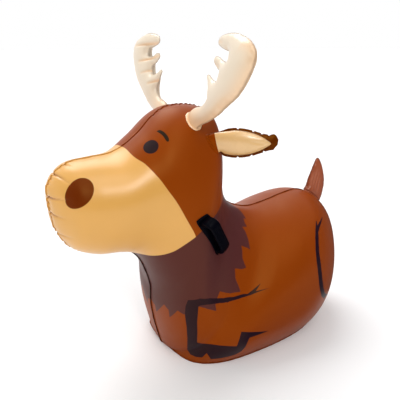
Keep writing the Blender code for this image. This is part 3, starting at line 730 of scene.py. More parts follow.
# Noise of the film as scale, detail and roughness: mottling, smears, grain and slow sway
FILM_CLOUD = (9.0, 3.0, 0.5)
FILM_SMEAR = (38.0, 4.0, 0.6)
FILM_GRAIN = (700.0, 2.0, 0.5)
FILM_SWAY = (26.0, 1.0, 0.4)
CLOUD_RANGE = (0.3, 0.7)
CLOUD_SHADES = (0.97, 1.02)
SMEAR_GLOSS = 0.10
GRAIN_HEIGHT = 0.010


def vinyl_film():
    """Soft mottling of the colour, uneven gloss, and the fine grain of calendered film."""
    if "vinyl film" in bpy.data.node_groups:
        return bpy.data.node_groups["vinyl film"]
    group, enter, leave = new_group(
        "vinyl film", {"Colour": COLOUR, "Gloss": VALUE},
        {"Colour": COLOUR, "Roughness": VALUE, "Height": VALUE})
    tint = new_node(group, "ShaderNodeHueSaturation")
    shade = ranged(group, noise(group, *FILM_CLOUD), CLOUD_RANGE, CLOUD_SHADES)
    feed(group, tint.inputs["Color"], enter["Colour"])
    feed(group, tint.inputs["Value"], shade)
    feed(group, leave["Colour"], tint.outputs["Color"])
    gloss = maths(group, "MULTIPLY_ADD", noise(group, *FILM_SMEAR), SMEAR_GLOSS, enter["Gloss"])
    feed(group, leave["Roughness"], gloss)
    grain = noise(group, *FILM_GRAIN)
    rise = maths(group, "MULTIPLY_ADD", grain, GRAIN_HEIGHT, noise(group, *FILM_SWAY))
    feed(group, leave["Height"], rise)
    return group


# Half width of the soft edge of a printed ink
INK_EDGE = 0.0004


def print_edge():
    """One printed ink over another, with the edge where the distance is 0."""
    if "print edge" in bpy.data.node_groups:
        return bpy.data.node_groups["print edge"]
    group, enter, leave = new_group(
        "print edge", {"Under": COLOUR, "Ink": COLOUR, "Distance": VALUE}, {"Colour": COLOUR})
    mask = ranged(group, enter["Distance"], (-INK_EDGE, INK_EDGE), (1.0, 0.0), "SMOOTHSTEP")
    feed(group, leave["Colour"], mixed(group, mask, enter["Under"], enter["Ink"]))
    return group


# The painted shade along a weld and the ripples beside it: reach, tone of the shade and ripples along a
# metre
WELD_REACH = (-0.0003, 0.0009)
WELD_SHADE_TONE = (0.22, 0.14, 0.10, 1.0)
RIPPLE_REACH = (0.0, 0.009)
RIPPLE_PACE = 330.0


def weld_line():
    """Paints shade on the sheet along a weld and gathers it in fine ripples beside it."""
    if "weld line" in bpy.data.node_groups:
        return bpy.data.node_groups["weld line"]
    group, enter, leave = new_group(
        "weld line", {"Colour": COLOUR, "Away": VALUE, "Travel": VALUE, "Dark": VALUE},
        {"Colour": COLOUR, "Ripple": VALUE})
    near = ranged(group, enter["Away"], WELD_REACH, (1.0, 0.0), "SMOOTHSTEP")
    amount = maths(group, "MULTIPLY", near, enter["Dark"])
    feed(group, leave["Colour"], mixed(group, amount, enter["Colour"], WELD_SHADE_TONE, "MULTIPLY"))
    wave = new_node(group, "ShaderNodeTexNoise", noise_dimensions="1D", Scale=1.0, Detail=1.0)
    feed(group, wave.inputs["W"], maths(group, "MULTIPLY", enter["Travel"], RIPPLE_PACE))
    fade = ranged(group, enter["Away"], RIPPLE_REACH, (1.0, 0.0), "SMOOTHSTEP")
    feed(group, leave["Ripple"], maths(group, "MULTIPLY", wave.outputs["Fac"], fade))
    return group


def welded(tree, colour, dark):
    """A colour with painted shade along the weld drawn on it."""
    return group_node(tree, weld_line(), Colour=colour, Dark=dark, Away=attribute(tree, "away"),
                      Travel=attribute(tree, "travel"))


def inked(tree, under, ink, name):
    """A print of the panel laid over what is under it."""
    layer = group_node(tree, print_edge(), Under=under, Ink=ink, Distance=attribute(tree, name))
    return layer.outputs["Colour"]


# Gloss of soft film: it mirrors in its own tone face on, and white at a slant
FILM_GLOSS = {"Specular IOR Level": 0.28, "Coat Roughness": 0.30, "Coat IOR": 1.9}
FILM_BUMP = (0.35, 0.0012)


def dress_film(tree, shader, colour, weld, ripple, gloss, tint):
    """Make a shader soft film of a colour, with the ripples of its weld."""
    film = group_node(tree, vinyl_film(), Colour=colour, Gloss=gloss)
    feed(tree, shader.inputs["Base Color"], film.outputs["Colour"])
    feed(tree, shader.inputs["Roughness"], film.outputs["Roughness"])
    rise = maths(tree, "MULTIPLY_ADD", weld.outputs["Ripple"], ripple, film.outputs["Height"])
    bump(tree, shader, rise, *FILM_BUMP)
    for label, value in FILM_GLOSS.items():
        shader.inputs[label].default_value = value
    shader.inputs["Specular Tint"].default_value = rgba(tint)


# Prints from the lowest to the topmost, the finish of the printed film, and the tone of the painted shade in
# its puckers
PRINTS = ("mane", "muzzle", "line", "nostril", "brow", "eye")
PRINT_GLOSS = 0.34
PRINT_TINT = (1.0, 0.56, 0.14)
PRINT_RIPPLE = 0.6
PUCKER_SHADE_TONE = (0.58, 0.42, 0.25, 1.0)
MUZZLE_COAT = (0.50, 0.50, 0.50, 1.0)


def printed_vinyl():
    """The brown film of a side panel with its prints, painted shade along its weld and in its puckers,
    clearer on the muzzle but not the nostril.
    """
    if "printed_vinyl" in bpy.data.materials:
        return bpy.data.materials["printed_vinyl"]
    made, tree, shader = new_material("printed_vinyl")
    colour = rgba(colours().coat)
    for name in PRINTS:
        colour = inked(tree, colour, rgba(getattr(colours(), name)), name)
    # Painted shade along the weld, as dark as the weld attribute says
    weld = welded(tree, colour, attribute(tree, "weld"))
    # Painted shade in the puckers, darker where they draw the sheet in deeper
    colour = mixed(tree, attribute(tree, "fold"), weld.outputs["Colour"], PUCKER_SHADE_TONE, "MULTIPLY")
    dress_film(tree, shader, colour, weld, PRINT_RIPPLE, PRINT_GLOSS, PRINT_TINT)
    coat = inked(tree, BLACK, MUZZLE_COAT, "muzzle")
    feed(tree, shader.inputs["Coat Weight"], inked(tree, coat, BLACK, "nostril"))
    return made


# How dark the painted shade along the weld of one-colour film is, and how deep the ripples beside it are
PLAIN_DARK = 0.45
PLAIN_RIPPLE = 0.5


def plain_vinyl(name, colour, other=None, gloss=0.24, tint=(1.0, 0.45, 0.05), coat=0.0):
    """One-colour film with painted shade along its weld; where the root mark of painted light is high, it
    goes over to another colour if one is given.
    """
    if name in bpy.data.materials:
        return bpy.data.materials[name]
    made, tree, shader = new_material(name)
    tone = rgba(colour)
    if other is not None:
        tone = mixed(tree, attribute(tree, "root"), tone, rgba(other))
    weld = welded(tree, tone, PLAIN_DARK)
    dress_film(tree, shader, weld.outputs["Colour"], weld, PLAIN_RIPPLE, gloss, tint)
    shader.inputs["Coat Weight"].default_value = coat
    return made


# Body
# How far the rows of a panel crowd towards its edges
ROW_CROWDING = 0.42
# Bands beside the edges of the prints in which edges are halved, and the longest that is left whole
PRINT_BANDS = (0.0045, 0.0022)
PRINT_FINEST = 0.0011
# Depth at which a pucker has its full painted shade
FULL_PUCKER = 0.0045


def panel_places(bm, spread):
    """Where the points of a flat grid lie on a panel."""
    s = np.interp([(vert.co.x + 1) / 2 for vert in bm.verts], *spread)
    v = np.array([(1 - vert.co.y) / 2 for vert in bm.verts])
    return s, np.clip(v - ROW_CROWDING * np.sin(2 * math.pi * v) / (2 * math.pi), 0, 1)


def refine_prints(bm, spread, near):
    """Halve the long edges of a flat grid that lie close to the edge of a print."""
    s, t = panel_places(bm, spread)
    places = hull_points(s, t)
    close = np.min([np.abs(away) for away in print_layers(s, t, places).values()], axis=0) < near
    bm.verts.index_update()
    long_ones = []
    for e in bm.edges:
        a, b = (vert.index for vert in e.verts)
        if (close[a] or close[b]) and np.linalg.norm(places[a] - places[b]) > PRINT_FINEST:
            long_ones.append(e)
    bmesh.ops.subdivide_edges(bm, edges=long_ones, cuts=1, use_grid_fill=True)
    bmesh.ops.triangulate(bm, faces=[face for face in bm.faces if len(face.verts) > 4])


def side_panel(edge, welds):
    """The printed left side of the body, from the nose to the rump, its mid-line edges marked sharp."""
    bm = bmesh.new()
    bmesh.ops.create_grid(bm, x_segments=sizes().ribs, y_segments=sizes().rows, size=1.0)
    spread = rib_spread()
    for near in PRINT_BANDS:
        refine_prints(bm, spread, near)
    s, t = panel_places(bm, spread)
    places = hull_points(s, t)
    index, away = edge.nearest(places)
    sunk = pucker_depth(edge.travel[index], away, hull_puckers(edge), edge.length)
    layers = print_layers(s, t, places)
    layers["away"] = away
    layers["travel"] = edge.travel[index]
    # How much painted shade a pucker puts on the sheet
    layers["fold"] = np.clip(sunk / FULL_PUCKER, 0, 1) ** 2
    # Darkness of the painted shade along the weld
    layers["weld"] = welds[index, 1]
    shaped = places - hull_normals(s, t) * sunk[:, None]
    shaped[:, 0] = np.maximum(shaped[:, 0], SEAM_X)
    shaped[:, 2] = np.maximum(shaped[:, 2], EDGE_Z)
    channels = {name: bm.verts.layers.float.new(name) for name in layers}
    for i, vert in enumerate(bm.verts):
        vert.co = shaped[i]
        for name, channel in channels.items():
            vert[channel] = layers[name][i]
    bm.normal_update()
    if sum(face.normal.x for face in bm.faces) < 0:
        bmesh.ops.reverse_faces(bm, faces=bm.faces)
    on_base = (t > 0.999) & (s > BASE_RIB - 1e-6)
    for e in bm.edges:
        if e.is_boundary and not all(on_base[vert.index] for vert in e.verts):
            e.smooth = False
    return bm


# The flange of a weld is drawn out in even rows, marked with these shares of its width. Two waves
# ruffle it: lengths, size and lag of the second, and how far they change the width and turn it aside
FLANGE_ROWS = (0.55, 1.0)
RUFFLE_LENGTHS = (0.0061, 0.0026)
RUFFLE_SECOND = 0.6
RUFFLE_LAG = 1.3
RUFFLE_WIDTH = 0.12
RUFFLE_ASIDE = 0.00022


def draw_weld(bm, edge, widths, side):
    """Draw the mid-line edges, which are marked sharp, out into a thin ruffled flange."""
    channel = bm.verts.layers.float["away"]
    edges = [e for e in bm.edges if not e.smooth]
    long_wave, short_wave = RUFFLE_LENGTHS
    for share in FLANGE_ROWS:
        drawn = bmesh.ops.extrude_edge_only(bm, edges=edges)["geom"]
        edges = [item for item in drawn if isinstance(item, bmesh.types.BMEdge)]
        verts = [item for item in drawn if isinstance(item, bmesh.types.BMVert)]
        index, _ = edge.nearest([vert.co for vert in verts])
        for vert, i in zip(verts, index):
            at = edge.travel[i]
            width = widths[i] * sizes().seam_flange
            ruffle = math.sin(at / long_wave) + RUFFLE_SECOND * math.sin(at / short_wave + RUFFLE_LAG)
            step = width / len(FLANGE_ROWS) * (1 + RUFFLE_WIDTH * ruffle)
            vert.co += Vector(edge.outward[i]) * step
            vert.co.x = SEAM_X + side * RUFFLE_ASIDE * share * ruffle
            vert.co.z = max(vert.co.z, EDGE_Z)
            vert[channel] = -width * share


VALVE_HOLE = 0.0118


def cut_valve_hole(bm):
    """Open the right panel under the valve, out of sight below its flange."""
    low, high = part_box("valve_flange")
    middle = (low + high) / 2
    gone = [face for face in bm.faces if (face.calc_center_median() - middle).length < VALVE_HOLE]
    bmesh.ops.delete(bm, geom=gone, context="FACES")


class HOPPER_OT_body(bpy.types.Operator):
    """Build the two printed side panels of the body"""

    bl_idname = "hopper.body"
    bl_label = "Body panels"

    def execute(self, context):
        edge = panel_edge()
        welds = weld_values()
        left = side_panel(edge, welds)
        right = left.copy()
        draw_weld(left, edge, welds[:, 0], 1)
        draw_weld(right, edge, welds[:, 0], -1)
        flip(right)
        cut_valve_hole(right)
        for name, bm in (("left", left), ("right", right)):
            skin = add_piece(f"{name}_side_skin", bm, [printed_vinyl()], "hull", [f"{name}_side_panel"])
            thicken(skin, sizes().skin)
        return {"FINISHED"}


# Base sheet: points along one side, its middle, its two laps as width and rise, and the gathers
# of its edge as size and count
BASE_POINTS = 161
BASE_MIDDLE = (0.0, -0.03, 0.0)
BASE_LAPS = ((0.0006, 0.0), (0.0008, 0.0001))
BASE_GATHERS = ((0.16, 46), (0.1, 71))
LAP_SHARE = 0.62
# A distance from any weld at which none is drawn
CLEAR_OF_WELD = 0.01


class HOPPER_OT_base(bpy.types.Operator):
    """Build the flat base sheet with its gathered edge"""

    bl_idname = "hopper.base"
    bl_label = "Base sheet"

    def execute(self, context):
        s = np.linspace(BASE_RIB, LAST_RIB, BASE_POINTS)
        left = hull_points(s, np.ones_like(s))
        ring = np.vstack([left, (left * (-1, 1, 1))[-2:0:-1]])
        bm = bmesh.new()
        bmesh.ops.create_circle(bm, cap_ends=True, radius=1.0, segments=len(ring))
        order = sorted(bm.verts, key=lambda vert: math.atan2(vert.co.y, vert.co.x))
        for vert, place in zip(order, ring):
            vert.co = (place[0], place[1], 0.0)
        away = bm.verts.layers.float.new("away")
        travel = bm.verts.layers.float.new("travel")
        middle = Vector(BASE_MIDDLE)
        for lap, lift in BASE_LAPS:
            outer = [e for e in bm.edges if e.is_boundary]
            drawn = bmesh.ops.extrude_edge_only(bm, edges=outer)["geom"]
            for vert in (item for item in drawn if isinstance(item, bmesh.types.BMVert)):
                outward = (vert.co - middle).normalized()
                around = math.atan2(outward.y, outward.x)
                gather = sum(size * math.sin(around * count) for size, count in BASE_GATHERS)
                vert.co += outward * lap * (LAP_SHARE + gather)
                vert.co.z += lift
        rim = max(vert.co.length for vert in bm.verts)
        for vert in bm.verts:
            vert[away] = CLEAR_OF_WELD
            vert[travel] = math.atan2(vert.co.y, vert.co.x) * rim
        bmesh.ops.translate(bm, vec=(0.0, 0.0, sizes().skin), verts=bm.verts)
        bmesh.ops.recalc_face_normals(bm, faces=bm.faces)
        if sum(face.normal.z for face in bm.faces) < 0:
            bmesh.ops.reverse_faces(bm, faces=bm.faces)
        sheet = add_piece("base_skin", bm, [plain_vinyl("coat_film", colours().coat)], "hull",
                          ["base_panel"])
        thicken(sheet, sizes().skin)
        return {"FINISHED"}


# Inflated pieces
def weld_ring(outline, root_width, reach, spacing):
    """Evenly spaced points along a weld, from one end of the open root to the other."""
    half = root_width / 2
    line = [(-half, -reach), (-half, -reach / 2), (-half, 0.0), *outline, (half, 0.0),
            (half, -reach / 2), (half, -reach)]
    fine = smooth_line(line, 10)
    steps = np.linalg.norm(np.diff(fine, axis=0), axis=1)
    travel = np.concatenate([[0.0], np.cumsum(steps)])
    places = np.linspace(0, travel[-1], int(travel[-1] / spacing) + 1)
    return np.stack([np.interp(places, travel, fine[:, 0]), np.interp(places, travel, fine[:, 1])], 1)


def membrane(coords, faces, held):
    """Height of an evenly loaded membrane that is held at some points."""
    coords = np.asarray(coords)
    faces = np.asarray(faces)
    count = len(coords)
    stiff = np.zeros((count, count))
    load = np.zeros(count)
    for k in range(3):
        a, b, c = (coords[faces[:, (k + j) % 3]] for j in range(3))
        ab = b - a
        ac = c - a
        twice = np.abs(ab[:, 0] * ac[:, 1] - ab[:, 1] * ac[:, 0])
        half_cot = (ab * ac).sum(1) / np.maximum(twice, 1e-12) / 2
        i, j = faces[:, (k + 1) % 3], faces[:, (k + 2) % 3]
        np.add.at(stiff, (i, j), -half_cot)
        np.add.at(stiff, (j, i), -half_cot)
        np.add.at(stiff, (i, i), half_cot)
        np.add.at(stiff, (j, j), half_cot)
        np.add.at(load, faces[:, k], twice / 6)
    free = np.flatnonzero(~held)
    height = np.zeros(count)
    height[free] = np.linalg.solve(stiff[np.ix_(free, free)], load[free])
    return height


# Points of an inflated sheet, as shares of their spacing: along the weld, between the rows of the
# grid, the rows beside the weld as inset and least distance, and how clear the grid and mouth stay
ALONG_WELD = 0.75
GRID_ROWS = 0.87
WELD_ROWS = ((0.25, 0.2), (0.7, 0.6))
GRID_CLEAR = 1.15
MOUTH_CLEAR = 0.4
# How far up the width of the mouth is felt, and half the gap between two sheets at their weld
MOUTH_REACH = 0.045
SHEET_GAP = 0.0004


def in_plane(points):
    """Flat points with a height of 0."""
    return np.column_stack([points, np.zeros(len(points))])


class Pillow:
    """One sheet of an inflated flat piece, from its weld line and its open root."""

    def __init__(self, outline, root_width, reach, depth, spacing, mouth=1.0):
        ring = weld_ring(outline, root_width, reach, ALONG_WELD * spacing)
        count = int(root_width / spacing) + 1
        root_x = np.linspace(root_width / 2, -root_width / 2, count + 1)[1:-1]
        root = np.stack([root_x, np.full(count - 1, -reach)], 1)
        loop = np.vstack([ring, root])
        way = np.gradient(ring, axis=0)
        outward = np.stack([-way[:, 1], way[:, 0]], 1)
        outward /= np.linalg.norm(outward, axis=1, keepdims=True)
        self.edge = Edge(in_plane(ring), in_plane(outward))
        low, high = loop.min(0), loop.max(0)
        across, up = np.meshgrid(np.arange(low[0], high[0], spacing),
                                 np.arange(low[1], high[1], GRID_ROWS * spacing))
        across[1::2] += spacing / 2
        rows = [(ring - outward * (inset * spacing), clear) for inset, clear in WELD_ROWS]
        rows.append((np.stack([across.ravel(), up.ravel()], 1), GRID_CLEAR))
        kept = []
        for points, clear in rows:
            points = points[within(points[:, 0], points[:, 1], loop)]
            _, away = self.edge.nearest(in_plane(points))
            clear_of_mouth = points[:, 1] > -reach + MOUTH_CLEAR * spacing
            kept.append(points[(away > clear * spacing) & clear_of_mouth])
        points = np.vstack([loop, *kept])
        edges = [(i, (i + 1) % len(loop)) for i in range(len(loop))]
        coords, _, self.faces, *_ = delaunay_2d_cdt([Vector(p) for p in points], edges, [], 1, 1e-7)
        self.coords = np.array([tuple(co) for co in coords])
        index, self.away = self.edge.nearest(in_plane(self.coords))
        self.travel = self.edge.travel[index]
        held = self.away < 1e-6
        lift = np.sqrt(np.maximum(membrane(self.coords, self.faces, held), 0))
        near_root = np.clip(1 - (self.coords[:, 1] + reach) / MOUTH_REACH, 0, 1)
        self.height = depth / 2 * lift / lift.max() * (1 + (mouth - 1) * near_root * near_root)
        self.length = self.edge.travel[-1]

    def puckers(self, seed, clear, spread):
        """Puckers all along the weld, clear of its ends."""
        return pucker_set(np.random.default_rng(seed), clear, self.length - clear, *spread)


def sheet_faces(bm, pillow, height, side, material):
    """Lay one sheet of a pillow into a bmesh, swollen to one side."""
    verts = [bm.verts.new((x, y, side * (h + SHEET_GAP)))
             for (x, y), h in zip(pillow.coords, height)]
    for face in pillow.faces:
        made = bm.faces.new([verts[i] for i in face])
        made.material_index = material
        made.normal_update()
        if made.normal.z * side < 0:
            made.normal_flip()
    return verts


# How far from the ends of a half wave a fold starts, the depth at which its painted light is full (painted
# shade in the creases of an antler, a painted highlight on the folds of the tail), how strong that painted
# light is, and the least height that is left of a sheet
FOLD_ENDS = 0.12
FOLD_DEPTH = 0.004
FOLD_TONE = 0.8
LEAST_HEIGHT = 0.0006
# The outermost strip of a rim, the waves along it, and the width at which they are full
RIM_LAST = 0.0005
RIM_WAVES = 83.0
RIM_FULL = 0.006


def fold_depth(pillow, creases, side):
    """How far the creases draw one sheet of a pillow in."""
    folded = np.zeros_like(pillow.height)
    for start, end, depth, width, where in creases:
        if where not in (0, side):
            continue
        way = np.subtract(end, start)
        along = np.clip(((pillow.coords - start) @ way) / (way @ way), 0, 1)
        off = np.linalg.norm(pillow.coords - start - along[:, None] * way, axis=1)
        arch = np.sin(math.pi * (FOLD_ENDS + (1 - 2 * FOLD_ENDS) * along))
        folded += depth * np.exp(-(off / width) ** 2) * arch
    return folded


def inflate(pillow, puckers, creases, rim, back_material=0, ripple=0.0):
    """Both sheets of an inflated piece, welded along a rim, open at the root."""
    bm = bmesh.new()
    channels = {name: bm.verts.layers.float.new(name) for name in ("away", "travel", "root")}
    sunk = pucker_depth(pillow.travel, pillow.away, puckers, pillow.edge.length)
    for side, material in ((1, 0), (-1, back_material)):
        folded = fold_depth(pillow, creases, side)
        height = np.maximum(pillow.height - sunk - folded, np.minimum(pillow.height, LEAST_HEIGHT))
        verts = sheet_faces(bm, pillow, height, side, material)
        for i, vert in enumerate(verts):
            vert[channels["away"]] = pillow.away[i]
            vert[channels["travel"]] = pillow.travel[i]
            # Folds get painted light: painted shade in antler creases, a painted highlight on tail folds
            vert[channels["root"]] = FOLD_TONE * min(folded[i] / FOLD_DEPTH, 1.0)
    low = min(vert.co.y for vert in bm.verts)
    open_edges = [e for e in bm.edges if e.is_boundary and any(v.co.y > low + 1e-5 for v in e.verts)]
    for step in (1, 2):
        drawn = bmesh.ops.extrude_edge_only(bm, edges=open_edges)["geom"]
        open_edges = [item for item in drawn if isinstance(item, bmesh.types.BMEdge)]
        verts = [item for item in drawn if isinstance(item, bmesh.types.BMVert)]
        index, _ = pillow.edge.nearest([(v.co.x, v.co.y, 0.0) for v in verts])
        for vert, i in zip(verts, index):
            share = pillow.edge.travel[i] / pillow.length
            width = rim(share)
            reach = width - RIM_LAST if step == 1 else RIM_LAST
            vert.co += Vector(pillow.edge.outward[i]) * reach
            if step == 2:
                vert.co.z = 0.0
            vert.co.z += ripple * math.sin(share * RIM_WAVES) * min(width / RIM_FULL, 1.0)
            vert[channels["away"]] = -width
    bmesh.ops.remove_doubles(bm, verts=bm.verts, dist=2e-5)
    return bm, channels


# Height above a root from which it looks for the hull, and how far it looks
ROOT_LOOK = 0.05
LOOK_LENGTH = 0.2


def seat_root(bm, place, tree, top, gap):
    """Draw the open root down on to the hull, and give the closed line where it meets it."""
    along = (place.to_3x3() @ Vector((0.0, 1.0, 0.0))).normalized()
    low = min(vert.co.y for vert in bm.verts)
    for vert in bm.verts:
        if vert.co.y >= top:
            continue
        start = place @ Vector((vert.co.x, ROOT_LOOK, vert.co.z))
        hit, _, _, far = tree.ray_cast(start, -along, LOOK_LENGTH)
        if hit is None:
            raise RuntimeError("the root of an inflated piece misses the hull")
        share = (top - vert.co.y) / (top - low)
        vert.co.y = top + share * (ROOT_LOOK - far + gap - top)
    bm.transform(place)
    line = []
    vert = next(vert for vert in bm.verts if vert.is_boundary)
    came = None
    while vert not in line:
        line.append(vert)
        came, vert = vert, next(
            e.other_vert(vert) for e in vert.link_edges
            if e.is_boundary and e.other_vert(vert) is not came)
    ring = np.array([tuple(v.co) for v in line])
    bmesh.ops.holes_fill(bm, edges=[e for e in bm.edges if e.is_boundary], sides=0)
    return ring


# A lip of film: points round it, its section as shares of width and height, the waves of its outer edge as
# size and pace, its lift off the hull, and its root mark, the share of painted warm light it takes where its
# film has a warm root colour
LIP_POINTS = 96
LIP_SECTION = ((-0.25, 0.05), (-0.22, 1.0), (0.25, 0.95), (0.7, 0.6), (1.0, 0.3), (1.0, 0.05))
LIP_WAVES = ((0.10, 1.7), (0.07, 0.61))
LIP_LIFT = 0.0002
LIP_WARM_LIGHT = 0.75


def weld_bead(ring, tree, width, height):
    """A flat lip of film that lies on the hull round the root of an inflated piece."""
    steps = np.linalg.norm(np.roll(ring, -1, axis=0) - ring, axis=1)
    travel = np.concatenate([[0.0], np.cumsum(steps)])
    closed = np.vstack([ring, ring[:1]])
    even = np.linspace(0, travel[-1], LIP_POINTS, endpoint=False)
    line = np.stack([np.interp(even, travel, closed[:, k]) for k in range(3)], 1)
    middle = Vector(line.mean(0))
    turns = len(LIP_SECTION)
    bm = bmesh.new()
    bmesh.ops.create_grid(bm, x_segments=LIP_POINTS, y_segments=turns, size=1.0)
    away = bm.verts.layers.float.new("away")
    root = bm.verts.layers.float.new("root")
    bm.verts.layers.float.new("travel")
    for vert in bm.verts:
        i = int(round((vert.co.x + 1) / 2 * LIP_POINTS)) % LIP_POINTS
        k = int(round((vert.co.y + 1) / 2 * turns)) % turns
        place = Vector(line[i])
        before, after = Vector(line[i - 1]), Vector(line[(i + 1) % LIP_POINTS])
        _, normal, _, _ = tree.find_nearest(place)
        if normal.dot(place - middle) < 0 and normal.dot(Vector((0.0, 0.0, 1.0))) < 0:
            normal = -normal
        outward = (after - before).cross(normal).normalized()
        if outward.dot(place - middle) < 0:
            outward.negate()
        out, up = LIP_SECTION[k]
        wave = 1 + sum(size * math.sin(i * pace) for size, pace in LIP_WAVES)
        place = place + outward * out * width * (wave if out > 0 else 1.0)
        near, normal, _, _ = tree.find_nearest(place)
        vert.co = near + normal * (LIP_LIFT + up * height)
        vert[away] = CLEAR_OF_WELD
        # Painted warm light, which shows on the lips of the antlers
        vert[root] = LIP_WARM_LIGHT
    bmesh.ops.remove_doubles(bm, verts=bm.verts, dist=1e-6)
    bmesh.ops.recalc_face_normals(bm, faces=bm.faces)
    return bm


def turn_points(turn, points):
    """Flat points, turned in their plane."""
    return [tuple(turn @ Vector(point)) for point in points]


def turn_folds(turn, folds):
    """Folds with both ends turned in their plane."""
    return [(*turn_points(turn, (start, end)), *rest) for start, end, *rest in folds]


def held_share(value):
    """A share that is held between 0 and 1."""
    return min(max(value, 0.0), 1.0)


def joint_place(name):
    return Vector(JOINTS[name]["pos_m"])


def antler_place():
    out = Vector((1.0, 0.0, 0.0))
    up = Vector((0.0, math.sin(ANTLER_LEAN), math.cos(ANTLER_LEAN)))
    across = out * math.sin(ANTLER_SPLAY) - up * math.cos(ANTLER_SPLAY)
    along = out * math.cos(ANTLER_SPLAY) + up * math.sin(ANTLER_SPLAY)
    return frame_matrix(across, along, joint_place("antler_left_flex"))


def hang(made, body, place, start, end, side):
    """Bend a piece across its root, from the hull to its own body."""
    points = [place @ Vector((0.0, y, 0.0)) for y in (start, end)]
    if side < 0:
        points = [Vector((-p.x, p.y, p.z)) for p in points]
    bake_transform(made, "hull", body, start=points[0], end=points[1])


def weld_on(name, side, place, bend, skin, lip):
    """Add an inflated piece, bent across its root, and the lip round it.

    The skin is given as mesh, finishes, sheets and slot, the lip as mesh, finish and slot; neither slot is
    used.
    """
    bm, finishes, sheets, slot = skin
    bead, edging, lip_slot = lip
    bmesh.ops.recalc_face_normals(bm, faces=bm.faces)
    if side < 0:
        flip(bm)
        flip(bead)
    nodes = [f"{name}_{sheet}_panel" for sheet in sheets]
    made = add_piece(f"{name}_skin", bm, finishes, None, nodes)
    hang(made, name, place, *bend, side)
    add_piece(f"{name}_lip", bead, [edging], "hull", [f"{name}_root_tab"])


# Antlers: how far the root reaches down, spacing of points, swelling of the mouth, width of the rim,
# puckers as spacing, depth, half width and length, and the end of the weld that stays clear of them
ANTLER_REACH = 0.012
ANTLER_POINTS = 0.0027
ANTLER_MOUTH = 1.15
ANTLER_RIM = 0.0012
ANTLER_PUCKERS = (0.017, 0.0011, 0.0026, 0.011)
ANTLER_CLEAR = 0.02
# Folds of each antler: start, end, depth, half width, and the sheet, or 0 for both
ANTLER_FOLDS = {
    "left": (((0.126, 0.128), (0.137, 0.112), 0.0030, 0.0022, 1),
             ((0.018, 0.046), (0.040, 0.040), 0.0016, 0.0030, 0),
             ((0.029, 0.104), (0.055, 0.094), 0.0018, 0.0030, 0),
             ((0.030, 0.137), (0.055, 0.134), 0.0016, 0.0030, 0)),
    "right": (((0.008, 0.066), (0.048, 0.052), 0.0050, 0.0022, 1),
              ((0.020, 0.088), (0.075, 0.070), 0.0036, 0.0020, 1),
              ((0.029, 0.108), (0.088, 0.092), 0.0054, 0.0024, 1),
              ((0.030, 0.132), (0.112, 0.122), 0.0050, 0.0022, 1),
              ((0.030, 0.137), (0.055, 0.134), 0.0016, 0.0030, -1)),
}
# How far the root is drawn to one side and up to which height, from where it is seated and with
# which gap, its lip as width and height, and where the bend across the root starts and ends
ANTLER_DRAWN = 0.007
ANTLER_DRAWN_TOP = 0.055
ANTLER_SEAT = (0.010, 0.0003)
ANTLER_LIP = (0.0032, 0.0016)
ANTLER_BEND = (-0.012, 0.034)
# Painted warm light of an antler: a painted glow at the root, and painted shade along the last part of the
# weld on the outer side: from, reach and strength
ROOT_WARM_REACH = 0.075
ROOT_WARM = 0.8
WELD_WARM_FROM = 0.62
WELD_WARM_REACH = 0.030
WELD_WARM = 0.60
# The right antler leans over: how far, at which height, up to how many times that height, and how
# fast the lean grows
RIGHT_DRIFT = (0.007, 0.0, 0.005)
RIGHT_HEIGHT = 0.15
RIGHT_PAST = 1.2
RIGHT_POWER = 1.5
# Gloss, tint and coat of the ivory film
IVORY_FINISH = (0.26, (1.0, 0.95, 0.85), 0.7)


def paint_antler_light(bm, channels, place, length):
    """Paint warm light on an antler: a painted glow by how near each point is to its root, and painted shade
    by how near it is to the last part of its weld.
    """
    back = place.inverted()
    away, travel, root = (channels[name] for name in ("away", "travel", "root"))
    for vert in bm.verts:
        y = (back @ vert.co).y
        share = held_share((ROOT_WARM_REACH - y) / (ROOT_WARM_REACH + ANTLER_REACH))
        vert[root] = max(vert[root], share * share * ROOT_WARM)
        if vert[travel] > WELD_WARM_FROM * length:
            warm = held_share(1 - vert[away] / WELD_WARM_REACH)
            vert[root] = max(vert[root], WELD_WARM * warm * warm)


def lean_over(bm, place):
    """Bend the right antler over softly, so that its tip drifts and its root stays."""
    back = place.inverted()
    drift = Vector(RIGHT_DRIFT)
    for vert in bm.verts:
        share = max((back @ vert.co).y / RIGHT_HEIGHT, 0.0)
        vert.co += drift * min(share, RIGHT_PAST) ** RIGHT_POWER


class HOPPER_OT_antlers(bpy.types.Operator):
    """Build the two inflated antlers and the lips that weld them to the head"""

    bl_idname = "hopper.antlers"
    bl_label = "Antlers"

    def execute(self, context):
        turn = Matrix.Rotation(ANTLER_SPLAY - math.pi / 2, 2).inverted()
        pillow = Pillow(turn_points(turn, ANTLER_OUTLINE), sizes().antler_root, ANTLER_REACH,
                        sizes().antler_depth, ANTLER_POINTS, ANTLER_MOUTH)
        tree = hull_search()
        place = antler_place()
        ivory = plain_vinyl("ivory_film", colours().antler, colours().antler_root, *IVORY_FINISH)
        for name, side, seed in (("left", 1, 3), ("right", -1, 5)):
            puckers = pillow.puckers(seed, ANTLER_CLEAR, ANTLER_PUCKERS)
            creases = turn_folds(turn, ANTLER_FOLDS[name])
            bm, channels = inflate(pillow, puckers, creases, lambda share: ANTLER_RIM)
            for vert in bm.verts:
                vert.co.x -= ANTLER_DRAWN * held_share(1 - vert.co.y / ANTLER_DRAWN_TOP) ** 2
            ring = seat_root(bm, place, tree, *ANTLER_SEAT)
            paint_antler_light(bm, channels, place, pillow.length)
            if side < 0:
                lean_over(bm, place)
            bead = weld_bead(ring, tree, *ANTLER_LIP)
            weld_on(f"antler_{name}", side, place, ANTLER_BEND,
                    (bm, [ivory], ("front", "rear"), "ivory_vinyl"), (bead, ivory, "ivory_vinyl"))
        return {"FINISHED"}


